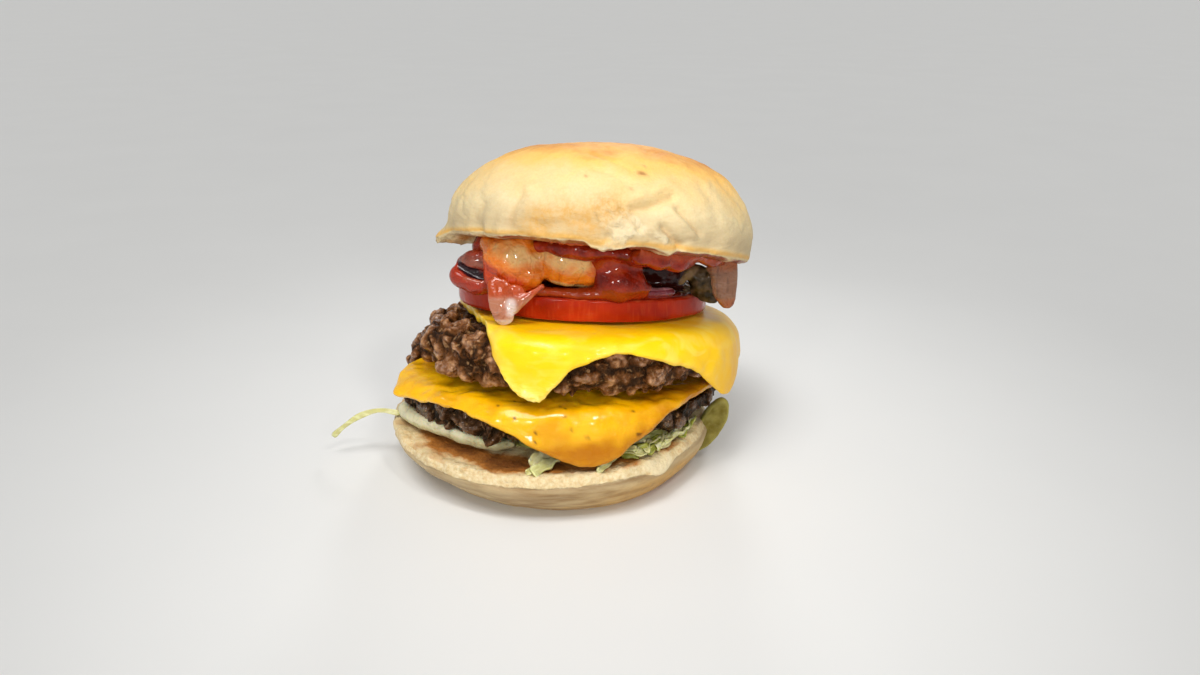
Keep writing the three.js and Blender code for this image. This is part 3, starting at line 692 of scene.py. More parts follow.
def patty(node, name, look, seed, cover, ridge=()):
    """Ground beef: big clods split by deep gaps, finer ones on them, and loose lumps along its open side.
    Where the cheese in cover lies against it, nothing stands out, but for the lumps, (x, y, z, size), of
    ridge."""
    obj = solid_of(node, name, levels=1)
    low, high = box_of(node)
    middle, reach = (low + high) / 2, (high - low) / 2
    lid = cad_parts[cover].data
    lid_tree = BVHTree.FromPolygons([v.co[:] for v in lid.vertices], [p.vertices[:] for p in lid.polygons])

    def to_cover(points):
        return np.array([lid_tree.find_nearest(Vector(point))[3] for point in points * MM]) / MM

    def near_side(points):
        share = np.hypot((points[:, 0] - middle[0]) / reach[0], (points[:, 1] - middle[1]) / reach[1])
        return step(share, 0.7, 0.85)

    draw = np.random.default_rng(seed)
    big, big_out = scattered_on(obj, PATTY_LUMPS, seed, near_side)
    small, small_out = scattered_on(obj, PATTY_GRAINS, seed + 1, near_side)
    big_size = draw.uniform(4.0, 7.4, PATTY_LUMPS) * step(to_cover(big), 1.5, 4.5)
    small_size = draw.uniform(1.6, 3.3, PATTY_GRAINS) * step(to_cover(small), 0.5, 2.2)
    pushed(obj.data, np.full(len(obj.data.vertices), -0.6))
    points = [points_of(obj.data)]
    faces = [list(p.vertices) for p in obj.data.polygons]

    def add_lumps(centres, halves, seed):
        more, sides = pebbles(centres, halves, seed)
        faces.extend((sides + sum(map(len, points))).tolist())
        points.append(more)

    for centres, outward, size, sink in (
        (big, big_out, big_size, 0.66), (small, small_out, small_size, 0.55),
    ):
        kept = size > 0.8
        size = size[kept, None]
        halves = size * draw.uniform((0.9, 0.75, 0.5), (1.4, 1.0, 0.8), (len(size), 3))
        add_lumps(centres[kept] - outward[kept] * size * sink, halves, seed + 2)
    if ridge:
        stops = spline(ridge, 9)
        add_lumps(stops[:, :3], stops[:, 3:] * draw.uniform(0.8, 1.15, (9, 3)), seed + 9)
    whole = voxelled(object_from(name, np.concatenate(points), faces), PATTY_VOXEL)
    bpy.data.objects.remove(obj)
    whole.name = name
    mesh = whole.data
    points = smoothed(points_of(mesh), edges_of(mesh), 4)
    put_points(mesh, points)
    open_air = step(to_cover(points), 0.6, 2.5)
    side = 1 - step(np.abs(normals_of(mesh)[:, 2]), 0.75, 0.97)
    coarse = step(clods(points, 9, seed), 0.0, 0.38)
    medium = step(clods(points * (0.75, 0.9, 1.2), 3.3, seed + 7), 0.0, 0.55)
    fine = step(clods(points, 1.7, seed + 14), 0.0, 0.6)
    moved = 1.4 * (coarse - 1) + 0.45 * (medium - 1) + 0.28 * (fine - 1)
    moved += open_air * side * (0.9 + 0.7 * waves(points, 9, seed)) + 0.1 * waves(points, 1.2, seed)
    pushed(mesh, moved)
    put_points(mesh, smoothed(points_of(mesh), edges_of(mesh), 2, 0.4))
    # relief drives the beef colour, and its low values get the painted shade of the gaps.
    relief = 0.02 + 0.34 * coarse + 0.26 * medium * (0.4 + coarse) + 0.2 * fine
    paint(mesh, "relief", relief + 0.2 * relief_of(mesh, 12))
    finish_piece(whole, look, node)


# ---------------------------------------------------------------- cheese


def cheese_look(name, body, pale, deep, wet):
    """Processed cheese, paler where it has run and deeper in the shade. wet says how greasy, from 0 to 1."""
    look = Look(
        name, Specular_IOR_Level=0.15, Coat_IOR=1.36, Coat_Roughness=0.16 - 0.1 * wet,
        Subsurface_Weight=0.2, Subsurface_Scale=0.002, Subsurface_Radius=(1.0, 0.62, 0.12),
    )
    look.give(Coat_Weight=look.step(look.value("shaded"), 0.1, 0.9, (0.2 + 0.7 * wet, 0.15 + 0.2 * wet)))
    swirl = look.noise(9, detail=3, rough=0.5, twist=1.3, stretch=(1.8, 1.0, 0.8), seed=41)
    colour = look.mix(look.step(swirl, 0.45, 0.68, (0.0, 0.3)), body, pale)
    colour = look.mix(look.step(look.noise(12, seed=43), 0.5, 0.72, (0.0, 0.4)), colour, deep)
    colour = look.mix(look.value("shaded"), colour, deep)
    streak = look.noise(2.6, detail=3, rough=0.6, twist=1.6, stretch=(2.0, 1.2, 0.9), seed=42)
    run = look.math("MULTIPLY", look.value("edge"), look.step(streak, 0.3, 0.62, (0.25, 1.0)))
    colour = look.mix(run, colour, pale)
    colour = look.mix(look.value("speck"), colour, tone(72, 40, 10))
    rough = look.step(look.noise(5, detail=3, seed=44), 0.35, 0.65, (0.4, 0.4 - 0.2 * wet))
    normal = look.bump(look.noise(7, detail=2, rough=0.5, twist=0.6, seed=45), 0.15 + 0.5 * wet)
    normal = look.bump(look.noise(1.6, detail=2, seed=46), 0.03 + 0.1 * wet, normal)
    look.give(Base_Color=colour, Roughness=rough, Normal=normal)
    return look


SHARP = math.radians(42)


def rim_distance(node, points):
    """How far each point is from the sharp outline of a CAD sheet, in mm."""
    work = bmesh.new()
    work.from_mesh(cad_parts[node].data)
    bmesh.ops.remove_doubles(work, verts=work.verts, dist=1e-6)
    outline = []
    for edge in work.edges:
        if len(edge.link_faces) == 2 and edge.calc_face_angle(0) > SHARP:
            a, b = (np.array(v.co) / MM for v in edge.verts)
            outline += [a + (b - a) * t for t in np.arange(0, 1, 0.25)]
    work.free()
    tree = KDTree(len(outline))
    for index, place in enumerate(outline):
        tree.insert(place, index)
    tree.balance()
    return np.array([tree.find(point)[2] for point in points])


def nowhere(points):
    return 0 * points[:, 0]


def cheese(
    node, name, look, seed, dark, melt=nowhere, sag=nowhere, creased=0.3, ripples=0.0, specks=0, corners=()
):
    """A slice that has gone soft over its patty. Of points, melt says where its edge has run, from 0 to 1,
    dark where a painted shade deepens its yellow, and sag how many mm its edge hangs lower. corners, each a
    direction and a reach, are drawn out to a point."""
    obj = solid_of(node, name, levels=3)
    mesh = obj.data
    points = points_of(mesh)
    gap = rim_distance(node, points)
    edge = bell(gap, 0, 2.2)
    run = melt(points)
    facing = normals_of(mesh)[:, 2]
    hanging = step(facing, 0.75, 0.3)
    fading = np.exp(-gap / 9)

    def small_folds(points):
        """From -1 to 1 across the small folds that run cheese lies in, side by side with its edge."""
        return np.cos(1.5 * gap + 2.2 * waves(points, 6, seed + 7))

    moved = 0.35 * waves(points, 15, seed) + creased * hanging * waves(points, 8, seed + 1, octaves=2)
    moved += 0.3 * creased * waves(points, 3.6, seed + 2) * hanging
    ripple = waves(points, 5, seed + 6, octaves=2, stretch=(1.6, 1, 1))
    moved += ripples * ripple * bell(points[:, 1], -34, 10)
    moved += edge * (0.05 + 0.3 * waves(points, 4, seed + 3)) - 0.2 * (1 - edge)
    moved += run * (0.9 * edge + 0.3 * small_folds(points) * fading)
    pushed(mesh, moved)
    # The outline itself wanders, more where it has melted.
    points = points_of(mesh)
    wander = bell(gap, 0, 5) * (creased + 1.6 * run)
    points[:, 2] += wander * waves(points * (1, 1, 0.2), 6.5, seed + 4, octaves=2)
    points[:, 2] -= sag(points) * bell(gap, 0, 6)
    for direction, reach in corners:
        direction = np.array(direction) / np.linalg.norm(direction)
        tip = points[np.argmax(points @ direction)]
        points += np.outer(reach * bell(np.linalg.norm(points - tip, axis=1), 0, 3.4), direction)
    put_points(mesh, points)
    swirl = step(small_folds(points), 0.2, 0.9) * fading
    paint(mesh, "edge", 0.12 * edge + run * (0.9 * bell(gap, 0, 3.6) + 0.9 * swirl))
    height = points[:, 2]
    # Painted shade: low parts that face sideways or down, and where dark says, get the deeper yellow.
    shaded = 0.7 * (facing < 0.35) * step(height, np.median(height), height.min())
    paint(mesh, "shaded", shaded + dark(points) * (0.8 + 0.6 * waves(points, 7, seed + 8, octaves=2)))
    speck = nowhere(points)
    if specks:
        for spot in scattered_on(obj, specks, seed + 5, lambda p: step(p[:, 1], -20, -35))[0]:
            speck += bell(np.linalg.norm(points - spot, axis=1), 0, 0.45)
    paint(mesh, "speck", speck)
    finish_piece(obj, look, node=node)


# ---------------------------------------------------------------- tomato, onion, pickle


def tomato():
    obj = solid_of("tomato_slice", "Tomato_slice", levels=3)
    mesh = obj.data
    points = points_of(mesh)
    low, high = box_of("tomato_slice")
    middle = (low + high)[:2] / 2
    radius = (high[0] - low[0]) / 2
    # The knife has left the side straight, with a crisp edge above and below.
    half = TOMATO_THICKNESS / 2
    level = (points[:, 2] - height_of(TOMATO_TOP, points[:, 0], points[:, 1]) + half) / half
    out = points[:, :2] - middle
    reach = np.hypot(*out.T)
    straight = radius * (1 - 0.014 * level**8) * (1 + 0.006 * waves(points * (1, 1, 0), 14, 51))
    eased = reach + (straight - reach) * step(reach, 0.93 * radius, 0.97 * radius)
    points[:, :2] = middle + out * (eased / np.maximum(reach, 1e-6))[:, None]
    put_points(mesh, points)
    pushed(mesh, 0.22 * waves(points, 16, 51) + 0.08 * waves(points, 4, 52, octaves=2))
    paint(mesh, "flesh", step(np.abs(normals_of(mesh) @ TOMATO_UP), 0.55, 0.9))
    look = Look(
        "Tomato", Specular_IOR_Level=0.08, Coat_Weight=0.12, Coat_Roughness=0.08,
        Subsurface_Weight=0.25, Subsurface_Scale=0.002, Subsurface_Radius=(1.0, 0.25, 0.12),
    )
    blotch = look.noise(9, detail=2, stretch=(1, 1, 1.6), seed=53)
    skin = look.ramp(blotch, (0.3, tone(134, 22, 4)), (0.6, tone(176, 44, 10)), (0.8, tone(192, 80, 28)))
    strands = look.noise(0.9, detail=2, stretch=(1, 1, 7), seed=57)
    skin = look.mix(look.step(strands, 0.5, 0.72, (0.0, 0.16)), skin, tone(206, 92, 44))
    pulp = look.noise(5, detail=3, seed=54)
    flesh = look.ramp(pulp, (0.3, tone(160, 32, 14)), (0.55, tone(196, 58, 30)), (0.75, tone(220, 104, 62)))
    grain = look.noise(0.9, detail=2, seed=55)
    look.give(
        Base_Color=look.mix(look.value("flesh"), skin, flesh),
        Roughness=look.step(grain, 0.3, 0.7, (0.14, 0.26)),
        Normal=look.bump(grain, 0.07, look.bump(look.noise(4, seed=56), 0.25)),
    )
    finish_piece(obj, look, "tomato_slice")


def onion_look(name, body, pale, sauced, skin, gloss=0.7):
    """Wet onion: translucent flesh with lines along it, and in places a pale part, a dark skin or sauce,
    whose colour on the white onion is a painted shade.
    """
    look = Look(
        name, Specular_IOR_Level=0.15, Coat_Weight=gloss, Coat_Roughness=0.07,
        Subsurface_Weight=0.3, Subsurface_Scale=0.0025, Subsurface_Radius=(1.0, 0.5, 0.25),
    )
    lines = look.noise(1.1, detail=2, stretch=(5, 5, 0.8), seed=61)
    clouds = look.noise(4.5, detail=3, twist=0.5, seed=62)

    def zone(mask, low, high):
        return look.step(look.varied(look.value(mask), clouds, 0.6), low, high)

    colour = look.mix(look.step(lines, 0.5, 0.7, (0.0, 0.18)), body, pale)
    colour = look.mix(zone("pale", 0.2, 0.85), colour, pale)
    colour = look.mix(zone("sauced", 0.15, 0.9), colour, sauced)
    colour = look.mix(zone("skin", 0.3, 0.7), colour, skin)
    look.give(
        Base_Color=colour,
        Roughness=look.step(clouds, 0.3, 0.7, (0.22, 0.38)),
        Normal=look.bump(lines, 0.05, look.bump(look.noise(3.0, detail=2, twist=0.8, seed=63), 1.3)),
    )
    return look


def painted_onion(obj, look, node, slot="red_onion", pale=nowhere, sauced=nowhere, skin=nowhere):
    """An onion piece with its zones painted. Of points, pale, the sauce zone and skin say where each zone is;
    on the white onion the sauce zone is a painted shade.
    """
    points = points_of(obj.data)
    for mask, zone in (("pale", pale), ("sauced", sauced), ("skin", skin)):
        paint(obj.data, mask, zone(points))
    finish_piece(obj, look, node)


def onion(node, name, look, seed, voxel=0.55, lumps=0.4, swell=0.0, taller=1.0, **zones):
    """An onion piece in its CAD node's shape, softened, uneven, and taller towards its left end."""
    obj = solid_of(node, name, levels=1, voxel=voxel, rounds=4)
    mesh = obj.data
    points = points_of(mesh)
    foot = height_of(HEEL_TOP, points[:, 0], points[:, 1])
    if taller > 1:
        points[:, 2] = foot + (points[:, 2] - foot) * (1 + (taller - 1) * step(points[:, 0], -10, -30))
        put_points(mesh, points)
    pushed(mesh, swell + lumps * waves(points_of(mesh), 7, seed, octaves=2))
    painted_onion(obj, look, node, **zones)


def front_onion():
    """Two fat lobes of a ring, under a coat of sauce, with a crease where they meet."""
    obj = clay("Onion_front", [
        ([(-9.6, -24.8, 74.0, 9.0)], (1.0, 0.76, 0.98)),
        ([(-13, -25.6, 69.6, 5.6), (-9, -27.4, 68.8, 5.0), (-5, -27.4, 70, 4.6)], (1.0, 0.8, 0.9)),
        ([(-14.6, -22, 77.8, 5), (-8, -24, 79, 5)], (1.0, 1.0, 0.8)),
        ([(6.8, -25, 73.8, 8.0)], (1.15, 0.8, 1.0)),
        ([(12.2, -24.2, 71.6, 6.6)], (1.0, 0.85, 0.95)),
        ([(-16, -14, 70, 5), (0, -17, 71, 6), (15, -14, 70, 5)], (1, 1, 1)),
    ], 141, rounds=7)
    crease = [(-9, -34, 81.5), (-4, -34, 78.6), (1, -33.5, 76), (3.5, -33, 73.5), (3.2, -33, 69)]
    flat = (1, 0.3, 1)
    pushed(obj.data, -0.9 * along_line(points_of(obj.data) * flat, np.array(crease) * flat, 1.0))

    def sauced(p):
        x, y, z = p.T
        low = 1.2 * step(z + 0.45 * (x + 10), 75, 67) + 0.5 * step(z - 0.1 * x, 80, 83)
        return low + 0.7 * step(x, 10, 17) + step(y, -16, -8)

    def pale(p):
        ridge = along_line(p, [(-13, -32, 80), (-5, -32, 77), (2, -31, 76.5), (10, -30, 75.5)], 4.6)
        # A pale line along the right lobe's lower rim: a painted highlight.
        seam = bell(p[:, 2] - 68.0 + 0.22 * (p[:, 0] - 4), 0, 0.8) * step(p[:, 0], 0, 3)
        return (0.85 + 0.6 * waves(p, 4, 148)) * ridge + 0.9 * seam

    painted_onion(obj, RED_ONION, "onion_ring_front", pale=pale, sauced=sauced)


def left_onion():
    """A piece folded shut to two lips with a dark slit between them."""
    obj = clay("Onion_left", [
        ([(-15, -22.5, 66.4, 3.4), (-20.5, -22.6, 66.2, 3.6), (-25.4, -20.4, 67.5, 3.9)], (1, 1, 1)),
        ([(-25.0, -20.2, 71.4, 2.3), (-21.4, -22, 73.0, 3.0), (-16.8, -22.5, 73.6, 3.6)], (1, 1, 1)),
        ([(-21.5, -16.5, 69.5, 5.6)], (1.0, 0.9, 0.9)),
        ([(-18.2, -18, 75.6, 4.0), (-16.5, -17, 78.5, 4.0)], (1, 1, 1)),
    ], 142, voxel=0.4, rounds=4)
    slit = [(-27.5, -24, 72.2), (-23.5, -25.5, 70.2), (-19.5, -26, 69.2), (-15.5, -27, 69.0)]
    points = points_of(obj.data)
    flat = (1, 0.25, 1)
    cut = along_line(points * flat, np.array(slit) * flat, 1.0) * step(points[:, 1], -19, -22)
    pushed(obj.data, -1.9 * cut)

    def sauced(p):
        upper_lip = along_line(p, [(-25, -23, 73.6), (-17, -26, 73)], 2.2)
        lower_lip = along_line(p, [(-24, -25, 68.6), (-17, -26.4, 67.6)], 1.1)
        return 1.0 - 0.8 * upper_lip - 0.7 * lower_lip

    painted_onion(
        obj, DARK_ONION, "onion_ring_left", sauced=sauced,
        # In the slit the dark skin colour is partly the purple onion skin and partly a painted shade in the
        # gap.
        skin=lambda p: 1.3 * cut + 0.45 * step(p[:, 2], 70.5, 73),
    )


def hanging_onions():
    """Thin skins of onion that hang out at the front and at the right."""
    front = clay("Onion_petal_front", [
        ([(-14.2, -31.6, 68.4, 2.4), (-13.8, -34.6, 64.4, 2.6), (-12.2, -35.6, 61.0, 3.2),
          (-11.6, -35.4, 59.4, 2.9)], (1, 0.28, 0.8)),
        ([(-9.2, -34.8, 62.4, 1.9), (-6.6, -35.0, 64.6, 1.7), (-3.4, -34.0, 66.6, 1.2),
          (-0.6, -32.6, 68.2, 0.8)], (0.8, 0.5, 1)),
        ([(-8.6, -34.0, 66.0, 3.4), (-10.8, -33.6, 64.0, 3.2)], (1, 0.3, 1)),
    ], 146, voxel=0.32, rounds=3, with_node="onion_petal_front")
    painted_onion(
        front, PINK_ONION, "onion_petal_front",
        sauced=lambda p: step(p[:, 2], 63.5, 67.5),
        pale=lambda p: 0.9 * along_line(p, [(-9.6, -36, 64.5), (-9.4, -36, 61.5)], 2.0)
        + 0.7 * step(p[:, 2], 60.5, 58.5),
        skin=lambda p: 0.9 * along_line(p, [(-6.2, -35, 62.8), (-0.6, -33, 67.4)], 0.9),
    )
    right = clay("Onion_petal_right", [
        ([(53.4, -15.0, 69.0, 4.6), (53.8, -15.8, 65.0, 4.2), (54.4, -16.4, 61.0, 3.6),
          (55.0, -16.4, 58.2, 2.5)], (1, 0.4, 1)),
        ([(50.6, -14.4, 67.6, 2.4), (50.8, -15, 63.6, 2.0), (51.4, -15, 60.6, 1.4)], (1, 0.5, 1)),
    ], 147, voxel=0.4, rounds=4)
    painted_onion(
        right, BROWN_ONION, "onion_petal_right",
        sauced=lambda p: 0.9 * step(p[:, 2], 61, 57.5) + 0.8 * step(p[:, 2], 66, 70),
        skin=lambda p: 0.5 * step(waves(p * (1, 1, 0.3), 2.4, 147), 0.1, 0.4),
    )


def side_pickle():
    """A thin slice that leans on the outside of the bun, with a paler skin round its edge."""
    shift, wider = (-3.8, 0, 1.0), 1.35
    obj = solid_of("pickle_slice_side", "Pickle_slice_side", levels=3)
    mesh = obj.data
    points = points_of(mesh)
    middle = points.mean(0)
    points = middle + shift + (points - middle) * (wider, wider, 1)
    put_points(mesh, points)
    middle = points.mean(0)
    _, _, axes = np.linalg.svd(points - middle, full_matrices=False)
    own = (points - middle) @ axes.T
    share = np.hypot(own[:, 0] / own[:, 0].max(), own[:, 1] / own[:, 1].max())
    pushed(mesh, 0.22 * waves(points, 3, 152, octaves=2))
    paint(mesh, "skin", step(share, 0.78, 0.95))
    look = pickle_look("Pickle_green", tone(114, 100, 28), tone(162, 152, 78))
    finish_piece(obj, look, "pickle_slice_side")


def dark_pickle():
    """A dark folded piece in the shade under the crown."""
    obj = clay("Pickle_chip", [
        ([(45.0, -12.5, 66.4, 3.0), (47.5, -13.5, 64.6, 4.4), (49.5, -14, 63.4, 3.8)], (1, 0.6, 1)),
        ([(47.0, -13.6, 61.4, 3.0), (49.4, -14.2, 60.0, 3.0), (50.5, -14, 58.6, 2.0)], (1, 0.6, 1)),
        ([(40.6, -14.6, 63.6, 1.1), (42.4, -14.8, 65.6, 1.3), (44.4, -14.6, 67.0, 1.2)], (1, 0.4, 1)),
    ], 151, voxel=0.4, rounds=3)
    mesh = obj.data
    pushed(mesh, 0.5 * waves(points_of(mesh), 3.2, 153, octaves=2))
    points = points_of(mesh)
    left_rim = step(points[:, 0] - 0.8 * (points[:, 2] - 64), 43.4, 42)
    paint(mesh, "skin", 1.2 * left_rim + 0.5 * step(waves(points, 3, 154), 0.3, 0.6))
    # Its flesh and rim are pickle tones darkened as a painted shade for the hollow under the crown.
    look = pickle_look("Pickle_dark", tone(34, 25, 8), tone(112, 88, 58))
    finish_piece(obj, look, "pickle_chip")


def pickle_look(name, flesh, rim):
    look = Look(
        name, Specular_IOR_Level=0.1, Coat_Weight=0.2, Coat_Roughness=0.08,
        Subsurface_Weight=0.3, Subsurface_Scale=0.002, Subsurface_Radius=(0.8, 1.0, 0.3),
    )
    clouds = look.noise(2.6, detail=3, seed=71)
    colour = look.mix(look.step(clouds, 0.35, 0.7, (0.0, 0.5)), flesh, rim)
    look.give(
        Base_Color=look.mix(look.value("skin"), colour, rim),
        Roughness=look.step(clouds, 0.3, 0.7, (0.25, 0.42)),
        Normal=look.bump(look.noise(1.2, detail=2, seed=72), 0.2),
    )
    return look


# ---------------------------------------------------------------- sauce


def under_crown(angle, radius, depth):
    """A point under the crown's cut face: degrees from the crown's own X axis, and mm out and down."""
    a = math.radians(angle)
    return CROWN_SEAT + CROWN_TURN @ np.array((radius * math.cos(a), radius * math.sin(a), -depth))


def sauce():
    """Thick sauce: bands under the crown's edge, a dollop in front, and what has spread on the tomato."""
    def band(start, end, radius, depth, thick):
        stops = []
        for i, a in enumerate(np.linspace(start, end, 9)):
            stops.append((*under_crown(a, radius, depth), thick * (1 + 0.3 * math.sin(4.4 * i))))
        return stops, (1, 1, 0.8)

    def on_tomato(start, end, radius, thick, rise=0.3):
        stops = []
        for a in np.radians(np.linspace(start, end, 9)):
            x, y = TOMATO_MIDDLE[0] + radius * math.cos(a), TOMATO_MIDDLE[1] + radius * math.sin(a)
            stops.append((x, y, height_of(TOMATO_TOP, x, y) + rise, thick))
        return stops, (1, 1, 0.34)

    obj = clay("Sauce", [
        band(-132, -18, 42.4, 0.0, 1.1),
        band(-72, -22, 40.6, 0.6, 2.2),
        band(-72, -50, 38.4, 2.0, 3.4),
        band(-130, -40, 32, 1.2, 3.4),
        # The dollop that hangs from the crown and spreads on the tomato.
        ([(17.5, -27, 78, 5.6), (19.6, -26, 72.5, 6.2), (20.6, -27.4, 67.8, 6.4)], (1, 0.8, 1)),
        ([(25.0, -27, 78.5, 5.0), (24.6, -26.6, 73, 3.8), (25.6, -27.6, 67.4, 4.4)], (1, 0.8, 1)),
        ([(31.0, -25, 77.6, 3.8), (37, -23, 76.6, 3.0)], (1, 0.8, 0.9)),
        ([(24.0, -29.6, 67.0, 3.2), (28.2, -27.6, 66.4, 2.6)], (1.3, 0.8, 0.9)),
        ([(-3, -27.6, 65.6, 2.2), (8, -28.4, 65.0, 2.4), (20, -27.8, 64.8, 3.4), (28.5, -25.4, 64.0, 2.6)],
         (1, 1, 0.6)),
        # What has run over the tomato and back into the dark between it and the crown.
        on_tomato(195, 345, 37.6, 3.0),
        on_tomato(190, 350, 33, 4.6),
        on_tomato(180, 360, 26, 6.5),
        on_tomato(170, 370, 17, 8),
        ([(-14, -4, 68, 6), (4, -6, 68, 7), (22, -5, 66, 7), (38, -3, 63, 6)], (1, 1, 1)),
    ], 81, voxel=0.65, rounds=5)
    mesh = obj.data
    points = points_of(mesh)
    x, y, z = points.T
    own = (points - CROWN_SEAT) @ CROWN_TURN
    at_lip = step(own[:, 2], -3.4, -0.6) * step(np.hypot(own[:, 0], own[:, 1]), 36, 42)
    at_foot = bell(z - height_of(TOMATO_TOP, x, y), 1.5, 1.6) * step(y, -24, -28)
    paint(mesh, "orange", at_lip + 0.7 * at_foot)
    # Sauce further back, in the hollow under the crown, gets a painted shade.
    paint(mesh, "dark", step(y, -21, -12))
    look = Look(
        "Sauce", Specular_IOR_Level=0.06, Coat_Weight=0.55, Coat_Roughness=0.06,
        Subsurface_Weight=0.15, Subsurface_Scale=0.002, Subsurface_Radius=(1.0, 0.22, 0.08),
    )
    clouds = look.noise(4, detail=3, seed=82)
    colour = look.ramp(clouds, (0.3, tone(100, 16, 3)), (0.55, tone(138, 32, 6)), (0.8, tone(166, 58, 14)))
    colour = look.mix(look.value("orange"), colour, tone(158, 60, 16))
    # Painted shade: the back of the sauce goes near black.
    colour = look.mix(look.value("dark"), colour, tone(58, 16, 8))
    look.give(
        Base_Color=colour,
        Roughness=look.step(clouds, 0.3, 0.7, (0.18, 0.32)),
        Normal=look.bump(look.noise(2.6, detail=2, seed=83), 1.1),
    )
    finish_piece(obj, look, "sauce")


# ---------------------------------------------------------------- lettuce


def strip(path, width, thickness, ruffle, twist, seed):
    """A thin closed leaf strip along a path: rings of points, wavy across and rolled a little."""
    steps, across = 16, 6
    line = spline(path, steps)
    along = np.gradient(line, axis=0)
    along /= np.linalg.norm(along, axis=1)[:, None]
    phase = np.random.default_rng(seed).uniform(0, 6.3, 3)
    rings = []
    s = np.linspace(-1, 1, across)
    for i in range(steps):
        turn = twist * i / (steps - 1) + phase[0] * 0.3
        side = np.cross(along[i], UP)
        side /= max(np.linalg.norm(side), 1e-6)
        lift = np.cross(side, along[i])
        cos, sin = math.cos(turn), math.sin(turn)
        side, lift = side * cos + lift * sin, lift * cos - side * sin
        narrow = min(1.0, 0.7 + 4.0 * min(i, steps - 1 - i) / (steps - 1))
        narrow *= 1 + 0.2 * math.sin(phase[2] + 0.9 * i)
        wave = 0.6 * s**2 + np.abs(s) ** 1.5 * 0.7 * np.sin(phase[1] + i * 1.1 + 1.6 * np.sign(s))
        top = line[i] + np.outer(s * width / 2 * narrow, side) + np.outer(ruffle * wave, lift)
        rings.append(np.concatenate((top + lift * thickness / 2, top[::-1] - lift * thickness / 2)))
    points = np.concatenate(rings)
    ring = 2 * across
    faces = [list(range(ring))[::-1], list(range((steps - 1) * ring, steps * ring))]
    for i in range(steps - 1):
        for j in range(ring):
            n = (j + 1) % ring
            faces.append([i * ring + j, i * ring + n, (i + 1) * ring + n, (i + 1) * ring + j])
    tint = np.tile(np.concatenate((np.linspace(-1, 1, across), np.linspace(1, -1, across))), steps)
    return points, faces, np.abs(tint)


def joined_strips(name, strips):
    """Leaf strips as one object. Each comes with how green it is, from 0 to 1."""
    points, faces, tints, greens = [], [], [], []
    start = 0
    for (p, f, tint), green in strips:
        points.append(p)
        faces += [[start + i for i in face] for face in f]
        tints.append(tint)
        greens.append(np.full(len(p), green))
        start += len(p)
    obj = object_from(name, np.concatenate(points), faces)
    work = bmesh.new()
    work.from_mesh(obj.data)
    bmesh.ops.recalc_face_normals(work, faces=work.faces)
    work.to_mesh(obj.data)
    work.free()
    paint(obj.data, "rim", np.concatenate(tints))
    paint(obj.data, "green", np.concatenate(greens))
    return obj


def lettuce_look():
    look = Look(
        "Lettuce", Coat_Weight=0.25, Coat_Roughness=0.25,
        Subsurface_Weight=0.35, Subsurface_Scale=0.002, Subsurface_Radius=(0.8, 1.0, 0.3),
    )
    veins = look.noise(1.6, detail=3, stretch=(3, 3, 1), seed=91)
    pale = look.mix(look.step(veins, 0.4, 0.65), tone(208, 200, 136), tone(232, 230, 180))
    green = look.mix(look.step(veins, 0.4, 0.65), tone(122, 126, 26), tone(184, 186, 78))
    look.give(
        Base_Color=look.mix(look.value("green"), pale, green),
        Roughness=look.step(veins, 0.3, 0.7, (0.38, 0.52)),
        Normal=look.bump(veins, 0.22),
    )
    return look


